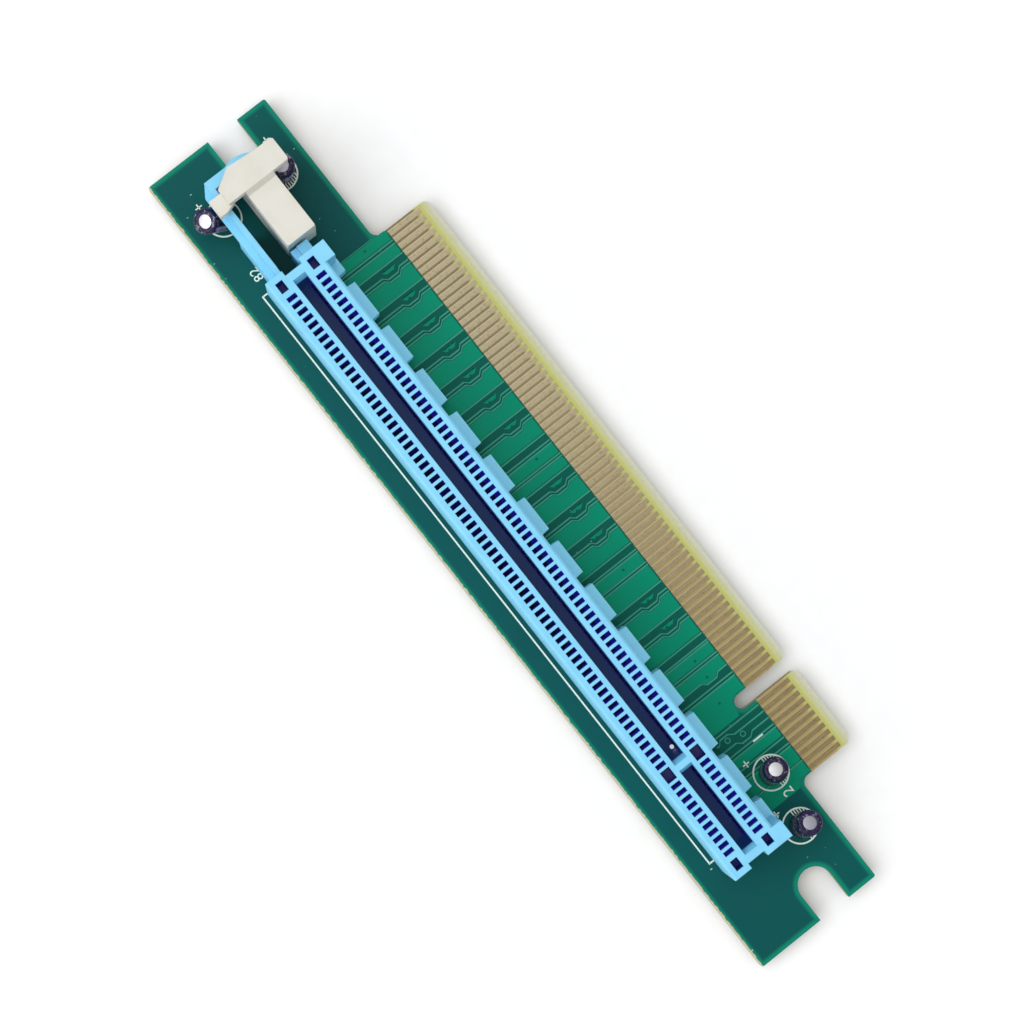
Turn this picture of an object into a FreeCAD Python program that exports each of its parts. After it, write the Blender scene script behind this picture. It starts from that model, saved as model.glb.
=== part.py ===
import FreeCAD, Part
import math
import os

# Riser card for a 16-lane expansion slot.  A green board carries gold edge fingers on one long side
# and an upright 164-way socket with a rocking card latch, and four small can capacitors.
#
# Working frame while the pieces are made, in millimetres: X runs along the board from the latch end,
# Y runs from the plain long edge towards the finger tab, Z is up from the component face of the board.
# finish() then moves every piece to the part's own frame, whose origin is the middle of the outline
# at the level of the lowest tips under the board.

# Edge fingers and contacts share one pitch
PITCH = 1.0
LONG_COUNT = 71
SHORT_COUNT = 11
KEY_GAP = 3.0                # between the two fingers on each side of the key
FINGER_WIDTH = 0.7
FINGER_LENGTH = 4.75
FINGER_SETBACK = 1.55        # from the tab's outer edge to the finger tips
FINGER_THICKNESS = 0.05
FINGER_MARGIN = 0.62         # from the middle of the outermost finger to the end of the tab

# Board outline
BODY_WIDTH = 17.9
BOARD_THICKNESS = 1.6
LATCH_END_MARGIN = 21.68     # board beyond the tab at the latch end
PLAIN_END_MARGIN = 14.88     # board beyond the tab at the other end
CORNER_RADIUS = 0.3
TAB_DEPTH = 8.1              # how far the tab stands out of the body
KEY_NOTCH_WIDTH = 1.9
KEY_NOTCH_DEPTH = 8.7
TAB_CORNER_RADIUS = 0.9
TAB_ROOT_RADIUS = 1.1
BEVEL_LENGTH = 0.8
BEVEL_DEPTH = 0.4
SCREW_NOTCH_WIDTH = 4.5
SCREW_NOTCH_DEPTH = 6.0
SCREW_NOTCH_Y = 11.45        # from the plain edge to the middle of both screw notches

# Socket housing, upright over the body of the board
SOCKET_Y = 7.15              # from the plain edge to the middle of the card slot
SOCKET_HEIGHT = 11.25
SOCKET_TOP_WIDTH = 7.4
SOCKET_END = 2.2             # housing beyond each end of the card slot
TOP_EDGE_CHAMFER = 0.25
CARD_SIDE_CLEARANCE = 0.17   # card slot's width over the card's thickness
CARD_END_CLEARANCE = 0.45    # card slot's length over each section of the card's tab
KEY_CLEARANCE = 0.1          # key notch's width over the key post's
SLOT_DEPTH = 8.9
LEAD_IN = 0.5                # sloped ends of the card slot, along the slot
LEAD_IN_DEPTH = 1.2
DECK_THICKNESS = 2.85        # the comb with the contact windows
WINDOW_WIDTH = 0.6
WINDOW_NEAR = 1.53           # from the slot's middle plane to the near side of a window
WINDOW_FAR = 2.85
END_WINDOW_LENGTH = 1.4
END_WINDOW_WIDTH = 1.0
END_WINDOW_DEPTH = 3.0
KEY_WINDOW_LENGTH = 1.65
KEY_WINDOW_DEPTH = 2.4
FLOOR_WIDTH = 2.0            # bar under the card slot
FLOOR_LIFT = 0.6
END_RECESS_WIDTH = 2.45
END_RECESS_DEPTH = 0.7
END_BLOCK_LENGTH = 2.3       # tall blocks at both ends, on the tab side
END_BLOCK_REACH = 4.95       # from the slot's middle plane
FOOT_REACH = 5.3             # low feet along the tab side, from the slot's middle plane
FOOT_HEIGHT = 4.0
FOOT_PITCH = 6.6
FOOT_LENGTH = 5.2
FOOT_TAPER = 0.2             # each end of a foot draws in by this much
FOOT_FIRST = 8.0             # from the housing's latch end to the middle of the first whole foot
PEG_RADIUS = 1.1
PEG_CLEARANCE = 0.1

# Contacts and their solder joints
CONTACT_WIDTH = 0.44
CONTACT_THICKNESS = 0.26
TAIL_INNER = 1.75            # inner row of tails, from the slot's middle plane
TAIL_CLEARANCE = 0.12        # between the outer row of tails and the housing's side wall
TOUCH_DROP = 2.2             # where a contact leans furthest into the card slot, below the comb
TOUCH_REACH = 0.12           # how far it stands in the card slot there
TIP_RISE = 0.8               # contact's tip above the underside of the comb
TIP_SETBACK = 0.42           # tip behind the near side of its window
JOINT_RADIUS = 0.4
JOINT_LENGTH = 0.9           # solder cone and pin tip below the board
LEAD_JOINT_RADIUS = 0.65
LEAD_JOINT_LENGTH = 1.1      # the lowest tips of the part

# Latch bay at the far end of the socket
BAY_LENGTH = 14.1            # from the far wall's outer face to the socket
BAY_LIFT = 0.3               # far wall and latch over the board
ARM_NEAR = 1.2               # inner face of the arm, from the slot's middle plane
ARM_THICKNESS = 0.7
ARM_DROP = 2.85              # top of the arm below the top of the socket
LEDGE_WIDTH = 0.9
LEDGE_DROP = 1.4             # ledge below the top of the arm
LEDGE_THICKNESS = 1.1        # ledge over the arch
LEDGE_SLANT = 1.3
ARCH_LENGTH = 6.4            # the arm stands clear of the board here, over a capacitor
END_WALL_THICKNESS = 1.35
END_WALL_SPAN = 6.5          # far wall, from the arm's inner face towards the tab
END_WALL_BULGE = 0.25
END_WALL_SWEEP = 0.9         # how far the far wall's outer face curves back at its free end
BULGE_START = 2.4            # flat part of the far wall's outer face, from the arm's inner face
NECK_LENGTH = 1.6
NECK_DROP = 3.45             # top of the neck below the top of the socket
NECK_WIDTH = 2.45
NECK_STEP_WIDTH = 0.9
NECK_STEP_DROP = 0.8

# Latch
PIVOT_OFFSET = 2.35          # pivot line, from the slot's middle plane
PIVOT_HEIGHT = 3.0
PIVOT_RADIUS = 0.8
PIVOT_CLEARANCE = 0.1
PIVOT_LENGTH = 0.8           # of each pin inside its bore
PIVOT_WALL = 0.5             # latch material round the far pin
LATCH_GAP = 0.3              # between each end of the latch and the housing
LATCH_OFFSET = 1.2           # near side of the latch, from the slot's middle plane
LATCH_WIDTH = 4.1
LATCH_WALL = 1.0
LATCH_DROP = 0.35            # top of the stem below the top of the socket
LATCH_TOP_THICKNESS = 1.25
LATCH_CORNER = 0.25
SIDE_WALL_LIFT = 1.6
SIDE_WALL_GAP = 0.65         # between the latch's outer side wall and the capacitor beside it
BAR_START = 1.0              # thumb bar's outer side, from the outer face of the bay's far wall
BAR_WIDTH = 3.25
BAR_RISE = 1.0               # top of the bar above the top of the stem
BAR_THICKNESS = 1.9
BAR_SWELL = 0.35             # how far the bar's outer side bows out beside the stem
PAD_REACH = 2.3              # thumb pad beyond the stem
PAD_CORNER = 0.25
BROW_LENGTH = 0.5            # slope from the bar's top down to the stem's
TONGUE_TAPER = 1.1
LIP_GAP = 0.3                # between the lip and the top of the arm
LIP_THICKNESS = 1.8
LIP_REACH = 1.7              # lip beyond the arm's inner face
LIP_WIDTH = 2.3
LIP_FLARE = 0.45             # lip beyond the bar's side

# Capacitors
CAN_RADIUS = 1.5
CAN_LENGTH = 5.0
SLEEVE_THICKNESS = 0.1
SLEEVE_FOOT = 0.15           # bare can below the sleeve
CAPACITOR_STANDOFF = 0.8     # middle of the can's floor over the board
LEAD_RADIUS = 0.25
LEAD_SPACING = 1.5

# Derived places
LONG_SECTION = (LONG_COUNT - 1) * PITCH + FINGER_MARGIN + (KEY_GAP - KEY_NOTCH_WIDTH) / 2
SHORT_SECTION = (SHORT_COUNT - 1) * PITCH + FINGER_MARGIN + (KEY_GAP - KEY_NOTCH_WIDTH) / 2
TAB_START = LATCH_END_MARGIN
KEY_X = TAB_START + LONG_SECTION + KEY_NOTCH_WIDTH / 2
TAB_END = KEY_X + KEY_NOTCH_WIDTH / 2 + SHORT_SECTION
BOARD_LENGTH = TAB_END + PLAIN_END_MARGIN
OVERALL_WIDTH = BODY_WIDTH + TAB_DEPTH
SLOT_WIDTH = BOARD_THICKNESS + CARD_SIDE_CLEARANCE
KEY_POST_WIDTH = KEY_NOTCH_WIDTH - KEY_CLEARANCE
SLOT_START = KEY_X - KEY_POST_WIDTH / 2 - LONG_SECTION - CARD_END_CLEARANCE
SLOT_END = KEY_X + KEY_POST_WIDTH / 2 + SHORT_SECTION + CARD_END_CLEARANCE
HOUSING_START = SLOT_START - SOCKET_END
HOUSING_END = SLOT_END + SOCKET_END
DECK_BOTTOM = SOCKET_HEIGHT - DECK_THICKNESS
SLOT_FLOOR = SOCKET_HEIGHT - SLOT_DEPTH
TAIL_OUTER = WINDOW_FAR - TAIL_CLEARANCE - CONTACT_THICKNESS / 2
SOLDER_FACE = -BOARD_THICKNESS
LOWEST = SOLDER_FACE - LEAD_JOINT_LENGTH
BAY_END = HOUSING_START - BAY_LENGTH
BAY_INSIDE = BAY_END + END_WALL_THICKNESS
ARM_INNER = SOCKET_Y - ARM_NEAR
ARM_OUTER = ARM_INNER - ARM_THICKNESS
ARM_HEIGHT = SOCKET_HEIGHT - ARM_DROP
LEDGE_HEIGHT = ARM_HEIGHT - LEDGE_DROP
NECK_END = HOUSING_START - NECK_LENGTH
NECK_HEIGHT = SOCKET_HEIGHT - NECK_DROP
PIVOT_Y = SOCKET_Y + PIVOT_OFFSET
LATCH_SIDE_Y = SOCKET_Y + LATCH_OFFSET
LATCH_TOP = SOCKET_HEIGHT - LATCH_DROP
BAR_TOP = LATCH_TOP + BAR_RISE

# Middle of each capacitor's pair of leads, degrees of lean, heading of the lean, heading of the lead pair
CAPACITORS = {
    "capacitor_1": ((BAY_END + 3.55, SOCKET_Y - 2.25), 27.0, 260.0, 0.0),
    "capacitor_2": ((BAY_END + 3.4, SOCKET_Y + 6.85), 1.5, 45.0, 0.0),
    "capacitor_3": ((HOUSING_END - 5.7, SOCKET_Y + 8.45), 9.5, 162.0, 90.0),
    "capacitor_4": ((HOUSING_END + 1.65, SOCKET_Y + 7.3), 9.7, 128.0, 90.0),
}


def box(x0, x1, y0, y1, z0, z1):
    """Block between two opposite corners."""
    return Part.makeBox(x1 - x0, y1 - y0, z1 - z0, FreeCAD.Vector(x0, y0, z0))


def prism(points, z0, z1):
    """Upright prism on a plan outline."""
    base = [FreeCAD.Vector(x, y, z0) for x, y in points]
    face = Part.Face(Part.makePolygon(base + base[:1]))
    return face.extrude(FreeCAD.Vector(0, 0, z1 - z0))


def side_prism(profile, x0, x1):
    """Prism along X on a Y-Z profile."""
    base = [FreeCAD.Vector(x0, y, z) for y, z in profile]
    face = Part.Face(Part.makePolygon(base + base[:1]))
    return face.extrude(FreeCAD.Vector(x1 - x0, 0, 0))


def ring(x, y, z, radius, sides):
    """Corners of a regular polygon with flats square to X and Y."""
    turn = math.pi / sides
    angles = [turn + 2 * math.pi * i / sides for i in range(sides)]
    return [FreeCAD.Vector(x + radius * math.cos(a), y + radius * math.sin(a), z) for a in angles]


def solder_cone(x, y, radius, length, sides):
    """Cone of solder with a pin tip at its point, rooted in the board under the solder face."""
    root = ring(x, y, SOLDER_FACE + 0.1, radius, sides)
    tip = FreeCAD.Vector(x, y, SOLDER_FACE - length)
    faces = [Part.Face(Part.makePolygon(root + root[:1]))]
    for first, second in zip(root, root[1:] + root[:1]):
        faces.append(Part.Face(Part.makePolygon([first, second, tip, first])))
    return Part.makeSolid(Part.makeShell(faces))


def upright_edges(shape, wanted):
    """Vertical edges of a shape whose plan position is in the wanted list."""
    found = []
    for edge in shape.Edges:
        first, last = edge.Vertexes[0].Point, edge.Vertexes[-1].Point
        upright = math.hypot(first.x - last.x, first.y - last.y) < 1e-6
        if upright and any(math.hypot(first.x - x, first.y - y) < 1e-3 for x, y in wanted):
            found.append(edge)
    return found


def contact_positions():
    """X of every finger and contact, counted outwards from the key."""
    long_side = [KEY_X - KEY_GAP / 2 - PITCH * i for i in range(LONG_COUNT)]
    short_side = [KEY_X + KEY_GAP / 2 + PITCH * i for i in range(SHORT_COUNT)]
    return sorted(long_side + short_side)


def lead_places(name):
    """The two lead positions of one capacitor on the board."""
    (x, y), _, _, heading = CAPACITORS[name]
    dx = LEAD_SPACING / 2 * math.cos(math.radians(heading))
    dy = LEAD_SPACING / 2 * math.sin(math.radians(heading))
    return [(x - dx, y - dy), (x + dx, y + dy)]


def peg_places():
    """Locating pegs under the key post and under the slot's latch end."""
    end_wall_middle = (HOUSING_START + END_RECESS_DEPTH + SLOT_START) / 2
    return [(end_wall_middle, SOCKET_Y), (KEY_X, SOCKET_Y)]


# Board

def board_blank():
    """Body and finger tab in one outline, with rounded corners and tab roots."""
    outline = [
        (0, 0), (BOARD_LENGTH, 0), (BOARD_LENGTH, BODY_WIDTH), (TAB_END, BODY_WIDTH),
        (TAB_END, OVERALL_WIDTH), (TAB_START, OVERALL_WIDTH), (TAB_START, BODY_WIDTH), (0, BODY_WIDTH),
    ]
    blank = prism(outline, SOLDER_FACE, 0)
    corners = [outline[i] for i in (0, 1, 2, 7)]
    blank = blank.makeFillet(CORNER_RADIUS, upright_edges(blank, corners))
    blank = blank.makeFillet(TAB_ROOT_RADIUS, upright_edges(blank, [outline[3], outline[6]]))
    return blank


def tab_bevel():
    """Wedges taken off both faces of the tab along its outer edge."""
    edge, inner = OVERALL_WIDTH, OVERALL_WIDTH - BEVEL_LENGTH
    x0, x1 = TAB_START - 1, TAB_END + 1
    upper = side_prism([(inner, 0), (edge + 1, 0), (edge + 1, -BEVEL_DEPTH), (edge, -BEVEL_DEPTH)], x0, x1)
    low = SOLDER_FACE + BEVEL_DEPTH
    lower = side_prism([(inner, SOLDER_FACE), (edge, low), (edge + 1, low), (edge + 1, SOLDER_FACE)], x0, x1)
    return [upper, lower]


def round_slot(x0, x1, y0, y1, round_end):
    """Open notch with one round end, cut right through the board."""
    z0, z1 = SOLDER_FACE - 1, 1
    if round_end in ("low_x", "high_x"):
        radius = (y1 - y0) / 2
        centre_x = x0 + radius if round_end == "low_x" else x1 - radius
        straight_x0, straight_x1 = (centre_x, x1) if round_end == "low_x" else (x0, centre_x)
        straight = box(straight_x0, straight_x1, y0, y1, z0, z1)
        centre = FreeCAD.Vector(centre_x, y0 + radius, z0)
    else:
        radius = (x1 - x0) / 2
        straight = box(x0, x1, y0 + radius, y1, z0, z1)
        centre = FreeCAD.Vector(x0 + radius, y0 + radius, z0)
    return straight.fuse(Part.makeCylinder(radius, z1 - z0, centre))


def screw_notches():
    """Open screw notches in both short ends."""
    y0, y1 = SCREW_NOTCH_Y - SCREW_NOTCH_WIDTH / 2, SCREW_NOTCH_Y + SCREW_NOTCH_WIDTH / 2
    near = round_slot(-1, SCREW_NOTCH_DEPTH, y0, y1, "high_x")
    far = round_slot(BOARD_LENGTH - SCREW_NOTCH_DEPTH, BOARD_LENGTH + 1, y0, y1, "low_x")
    return [near, far]


def solder_joints():
    """Soldered ends of the contact tails in four staggered rows, and of the capacitor leads."""
    joints = []
    for index, x in enumerate(contact_positions()):
        for side in (-1, 1):
            y = SOCKET_Y + side * tail_offset(index)
            joints.append(solder_cone(x, y, JOINT_RADIUS, JOINT_LENGTH, 4))
    for name in CAPACITORS:
        joints += [solder_cone(x, y, LEAD_JOINT_RADIUS, LEAD_JOINT_LENGTH, 8) for x, y in lead_places(name)]
    return joints


def peg_holes():
    """Holes for the housing's locating pegs."""
    radius = PEG_RADIUS + PEG_CLEARANCE
    depth = BOARD_THICKNESS + 2
    return [Part.makeCylinder(radius, depth, FreeCAD.Vector(x, y, SOLDER_FACE - 1)) for x, y in peg_places()]


def circuit_board():
    """Board with bevelled, keyed finger tab, screw notches, peg holes and filled solder joints."""
    key_x0, key_x1 = KEY_X - KEY_NOTCH_WIDTH / 2, KEY_X + KEY_NOTCH_WIDTH / 2
    key = round_slot(key_x0, key_x1, OVERALL_WIDTH - KEY_NOTCH_DEPTH, OVERALL_WIDTH + 1, "low_y")
    board = board_blank().cut([key] + screw_notches())
    corner_places = [(x, OVERALL_WIDTH) for x in (TAB_START, key_x0, key_x1, TAB_END)]
    board = board.makeFillet(TAB_CORNER_RADIUS, upright_edges(board, corner_places))
    board = board.cut(tab_bevel() + peg_holes())
    return board.fuse(solder_joints())


def edge_fingers(top):
    """One row of plated fingers on the component face or the solder face."""
    y1 = OVERALL_WIDTH - FINGER_SETBACK
    z0 = 0 if top else SOLDER_FACE - FINGER_THICKNESS
    half = FINGER_WIDTH / 2
    pads = [box(x - half, x + half, y1 - FINGER_LENGTH, y1, z0, z0 + FINGER_THICKNESS)
            for x in contact_positions()]
    return Part.makeCompound(pads)


# Socket housing

def socket_body():
    """Solid body of the socket with eased top edges, end blocks and feet, before it is hollowed."""
    half = SOCKET_TOP_WIDTH / 2
    ease = TOP_EDGE_CHAMFER
    top = SOCKET_HEIGHT
    profile = [
        (SOCKET_Y - half, 0), (SOCKET_Y + half, 0), (SOCKET_Y + half, top - ease),
        (SOCKET_Y + half - ease, top), (SOCKET_Y - half + ease, top), (SOCKET_Y - half, top - ease),
    ]
    body = side_prism(profile, HOUSING_START, HOUSING_END)
    inside = SOCKET_Y + half - 1
    reach = SOCKET_Y + END_BLOCK_REACH
    blocks = [
        box(HOUSING_START, HOUSING_START + END_BLOCK_LENGTH, inside, reach, 0, top),
        box(HOUSING_END - END_BLOCK_LENGTH, HOUSING_END, inside, reach, 0, top),
    ]
    return body.fuse(blocks + socket_feet())


def socket_feet():
    """Low tapered feet along the tab side, clipped at the housing's ends."""
    inside = SOCKET_Y + SOCKET_TOP_WIDTH / 2 - 0.5
    reach = SOCKET_Y + FOOT_REACH
    feet = []
    middle = HOUSING_START + FOOT_FIRST - FOOT_PITCH
    while middle - FOOT_LENGTH / 2 < HOUSING_END - END_BLOCK_LENGTH:
        root0 = max(middle - FOOT_LENGTH / 2, HOUSING_START + END_BLOCK_LENGTH / 2)
        root1 = min(middle + FOOT_LENGTH / 2, HOUSING_END - END_BLOCK_LENGTH / 2)
        outline = [(root0, inside), (root1, inside), (root1 - FOOT_TAPER, reach), (root0 + FOOT_TAPER, reach)]
        feet.append(prism(outline, 0, FOOT_HEIGHT))
        middle += FOOT_PITCH
    return feet


def card_slot(x0, x1):
    """Card slot between two ends, with a sloped lead-in at each end."""
    half = SLOT_WIDTH / 2
    top = SOCKET_HEIGHT
    profile = [
        (x0, SLOT_FLOOR), (x1, SLOT_FLOOR), (x1, top - LEAD_IN_DEPTH), (x1 + LEAD_IN, top),
        (x1 + LEAD_IN, top + 1), (x0 - LEAD_IN, top + 1), (x0 - LEAD_IN, top), (x0, top - LEAD_IN_DEPTH),
    ]
    base = [FreeCAD.Vector(x, SOCKET_Y - half, z) for x, z in profile]
    face = Part.Face(Part.makePolygon(base + base[:1]))
    return face.extrude(FreeCAD.Vector(0, SLOT_WIDTH, 0))


def contact_chamber(xs):
    """Space under the comb for one run of contacts, open to the board on both sides of the floor bar."""
    x0, x1 = xs[0] - PITCH / 2, xs[-1] + PITCH / 2
    y0, y1 = SOCKET_Y - WINDOW_FAR, SOCKET_Y + WINDOW_FAR
    space = box(x0, x1, y0, y1, -1, DECK_BOTTOM)
    half = FLOOR_WIDTH / 2
    bar = box(x0 - 1, x1 + 1, SOCKET_Y - half, SOCKET_Y + half, FLOOR_LIFT, SLOT_FLOOR)
    return space.cut(bar)


def windows():
    """Contact windows in the comb, and the blind windows at both ends and at the key."""
    cuts = []
    top = SOCKET_HEIGHT
    for side in (-1, 1):
        near, far = SOCKET_Y + side * WINDOW_NEAR, SOCKET_Y + side * WINDOW_FAR
        y0, y1 = min(near, far), max(near, far)
        for x in contact_positions():
            cuts.append(box(x - WINDOW_WIDTH / 2, x + WINDOW_WIDTH / 2, y0, y1, DECK_BOTTOM - 0.5, top + 1))
        half = KEY_WINDOW_LENGTH / 2
        cuts.append(box(KEY_X - half, KEY_X + half, y0, y1, top - KEY_WINDOW_DEPTH, top + 1))
        near = SOCKET_Y + side * (WINDOW_FAR - END_WINDOW_WIDTH)
        y0, y1 = min(near, far), max(near, far)
        for x in (SLOT_START - END_WINDOW_LENGTH / 2, SLOT_END + END_WINDOW_LENGTH / 2):
            half = END_WINDOW_LENGTH / 2
            cuts.append(box(x - half, x + half, y0, y1, top - END_WINDOW_DEPTH, top + 1))
    return cuts


def end_recesses():
    """Shallow recess in the middle of each end of the socket."""
    y0, y1 = SOCKET_Y - END_RECESS_WIDTH / 2, SOCKET_Y + END_RECESS_WIDTH / 2
    near = box(HOUSING_START - 1, HOUSING_START + END_RECESS_DEPTH, y0, y1, -1, SOCKET_HEIGHT + 1)
    far = box(HOUSING_END - END_RECESS_DEPTH, HOUSING_END + 1, y0, y1, -1, SOCKET_HEIGHT + 1)
    return [near, far]


def bay_arm():
    """Arm of the latch bay: an upright rail with a lower ledge outside it, arched over a capacitor."""
    join = HOUSING_START + END_BLOCK_LENGTH / 2
    rail = box(BAY_END, join, ARM_OUTER, ARM_INNER, 0, ARM_HEIGHT)
    ledge_outline = [
        (BAY_END, ARM_OUTER), (BAY_END + LEDGE_SLANT, ARM_OUTER - LEDGE_WIDTH),
        (join, ARM_OUTER - LEDGE_WIDTH), (join, ARM_OUTER),
    ]
    arm = rail.fuse(prism(ledge_outline, 0, LEDGE_HEIGHT))
    arch_end = BAY_INSIDE + ARCH_LENGTH
    arch_top = LEDGE_HEIGHT - LEDGE_THICKNESS
    return arm.cut(box(BAY_END - 1, arch_end, ARM_OUTER - 2 * LEDGE_WIDTH, ARM_INNER + 1, -1, arch_top))


def bay_end_wall():
    """Far wall of the bay, bulged outwards round the latch pivot, with a blind pivot bore."""
    finish = ARM_INNER + END_WALL_SPAN
    turn = ARM_INNER + BULGE_START
    swept = BAY_END + END_WALL_SWEEP
    corner = [FreeCAD.Vector(x, y, BAY_LIFT) for x, y in (
        (swept, finish), (BAY_INSIDE, finish), (BAY_INSIDE, ARM_OUTER), (BAY_END, ARM_OUTER), (BAY_END, turn))]
    bulge = FreeCAD.Vector(BAY_END - END_WALL_BULGE, (turn + finish) / 2 - END_WALL_SWEEP, BAY_LIFT)
    edges = [Part.makeLine(first, second) for first, second in zip(corner, corner[1:])]
    edges.append(Part.Arc(corner[-1], bulge, corner[0]).toShape())
    wall = Part.Face(Part.Wire(edges)).extrude(FreeCAD.Vector(0, 0, ARM_HEIGHT - BAY_LIFT))
    depth = PIVOT_LENGTH + PIVOT_CLEARANCE
    return wall.cut(pivot_rod(BAY_INSIDE - depth, BAY_INSIDE + 1, PIVOT_RADIUS + PIVOT_CLEARANCE))


def bay_neck():
    """Neck that carries the near pivot, with a lower step next to the card slot's line."""
    join = HOUSING_START + END_BLOCK_LENGTH / 2
    y0 = SOCKET_Y + END_RECESS_WIDTH / 2
    neck = box(NECK_END, join, y0, y0 + NECK_WIDTH, 0, NECK_HEIGHT)
    step_floor = NECK_HEIGHT - NECK_STEP_DROP
    step = box(NECK_END - 1, HOUSING_START, y0 - 1, y0 + NECK_STEP_WIDTH, step_floor, NECK_HEIGHT + 1)
    depth = PIVOT_LENGTH + PIVOT_CLEARANCE
    bore = pivot_rod(NECK_END - 1, NECK_END + depth, PIVOT_RADIUS + PIVOT_CLEARANCE)
    return neck.cut([step, bore])


def pivot_rod(x0, x1, radius):
    """Cylinder on the latch's pivot line."""
    start = FreeCAD.Vector(x0, PIVOT_Y, PIVOT_HEIGHT)
    return Part.makeCylinder(radius, x1 - x0, start, FreeCAD.Vector(1, 0, 0))


def locating_pegs():
    """Pegs that pass through the board and end flush with the solder face."""
    depth = BOARD_THICKNESS
    return [Part.makeCylinder(PEG_RADIUS, depth, FreeCAD.Vector(x, y, -depth)) for x, y in peg_places()]


def slot_housing():
    """Moulded socket housing with its comb, card slot, latch bay and pegs."""
    xs = contact_positions()
    body = socket_body()
    body = body.fuse([bay_arm(), bay_neck()] + locating_pegs())
    slots = [
        card_slot(SLOT_START, KEY_X - KEY_POST_WIDTH / 2),
        card_slot(KEY_X + KEY_POST_WIDTH / 2, SLOT_END),
    ]
    chambers = [contact_chamber(xs[:LONG_COUNT]), contact_chamber(xs[LONG_COUNT:])]
    body = body.cut(end_recesses() + slots + chambers)
    body = body.cut(windows())
    return body.fuse(bay_end_wall()).removeSplitter()


# Contacts

def tail_offset(index):
    """Tails alternate between the inner and the outer row."""
    return TAIL_INNER if index % 2 == 0 else TAIL_OUTER


def contact(x, side, offset):
    """One stamped contact: it leans in from its tail to touch the card, then turns back behind the lip."""
    half = CONTACT_THICKNESS / 2
    touch, touch_z = SLOT_WIDTH / 2 - TOUCH_REACH, DECK_BOTTOM - TOUCH_DROP
    profile = [
        (offset - half, 0), (offset + half, 0), (touch + CONTACT_THICKNESS, touch_z),
        (WINDOW_NEAR + TIP_SETBACK, DECK_BOTTOM + TIP_RISE), (touch, touch_z),
    ]
    placed = [(SOCKET_Y + side * u, z) for u, z in profile]
    return side_prism(placed, x - CONTACT_WIDTH / 2, x + CONTACT_WIDTH / 2)


def contact_row(side, offset):
    """Every contact of one side whose tail stands in the given row."""
    chosen = [x for index, x in enumerate(contact_positions()) if tail_offset(index) == offset]
    return Part.makeCompound([contact(x, side, offset) for x in chosen])


# Latch

def latch_ends():
    """Far and near end of the latch, clear of the bay's far wall and of the neck."""
    return BAY_INSIDE + LATCH_GAP, NECK_END - LATCH_GAP


def latch_stem():
    """Stem of the latch: a top plate over two side walls and two end walls, open underneath."""
    far, near = latch_ends()
    side0, side1 = LATCH_SIDE_Y, LATCH_SIDE_Y + LATCH_WIDTH
    under = LATCH_TOP - LATCH_TOP_THICKNESS
    plate = box(far, near, side0, side1, under, LATCH_TOP)
    plate = plate.makeFillet(LATCH_CORNER, upright_edges(plate, [(near, side1), (near, side0)]))
    top = LATCH_TOP - LATCH_TOP_THICKNESS / 2
    pivot_side = PIVOT_Y + PIVOT_RADIUS + PIVOT_WALL
    beside = CAPACITORS["capacitor_2"][0][0] + CAN_RADIUS + SLEEVE_THICKNESS + SIDE_WALL_GAP
    side_start = min(beside, near - LATCH_WALL)
    walls = [
        box(far, near, side0, side0 + LATCH_WALL, BAY_LIFT, top),
        box(side_start, near, side1 - LATCH_WALL, side1, SIDE_WALL_LIFT, top),
        box(near - LATCH_WALL, near, side0, side1, SIDE_WALL_LIFT, top),
        box(far, far + LATCH_WALL, side0, pivot_side, SIDE_WALL_LIFT, top),
    ]
    return plate.fuse(walls)


def latch_bar():
    """Cross bar: thumb pad on the tab side, tapered tongue over the card slot's line."""
    x0 = BAY_END + BAR_START
    x1 = x0 + BAR_WIDTH
    pad = LATCH_SIDE_Y + LATCH_WIDTH + PAD_REACH
    outline = [
        (x0, pad - PAD_CORNER), (x0 + PAD_CORNER, pad), (x1 - PAD_CORNER, pad), (x1, pad - PAD_CORNER),
        (x1, ARM_INNER), (x0 + TONGUE_TAPER, ARM_INNER), (x0 - BAR_SWELL, LATCH_SIDE_Y),
        (x0, LATCH_SIDE_Y + LATCH_WIDTH),
    ]
    return prism(outline, BAR_TOP - BAR_THICKNESS, BAR_TOP)


def latch_brow():
    """Slope between the top of the stem and the top of the cross bar."""
    x0 = BAY_END + BAR_START + BAR_WIDTH
    low, high = LATCH_TOP - LATCH_TOP_THICKNESS / 2, BAR_TOP
    profile = [(x0 - BROW_LENGTH, low), (x0 + BROW_LENGTH, low), (x0 + BROW_LENGTH, LATCH_TOP), (x0, high),
               (x0 - BROW_LENGTH, high)]
    base = [FreeCAD.Vector(x, LATCH_SIDE_Y, z) for x, z in profile]
    face = Part.Face(Part.makePolygon(base + base[:1]))
    return face.extrude(FreeCAD.Vector(0, LATCH_WIDTH, 0))


def latch_lip():
    """Lip at the tongue's end, lower than the bar, over the arm of the bay."""
    x1 = BAY_END + BAR_START + BAR_WIDTH
    start = x1 + LIP_FLARE - LIP_WIDTH
    tip = ARM_INNER - LIP_REACH
    root = ARM_INNER + ARM_THICKNESS
    outline = [(start, root), (start, tip), (x1 + LIP_FLARE, tip), (x1 + LIP_FLARE, ARM_OUTER), (x1, root)]
    low = ARM_HEIGHT + LIP_GAP
    return prism(outline, low, low + LIP_THICKNESS)


def retention_latch():
    """Rocking card latch with its own pivot pins, moulded in one piece."""
    far, near = latch_ends()
    pins = [
        pivot_rod(near - LATCH_WALL / 2, near + LATCH_GAP + PIVOT_LENGTH, PIVOT_RADIUS),
        pivot_rod(far - LATCH_GAP - PIVOT_LENGTH, far + LATCH_WALL / 2, PIVOT_RADIUS),
    ]
    return latch_stem().fuse([latch_bar(), latch_brow(), latch_lip()] + pins).removeSplitter()


# Capacitors

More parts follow.
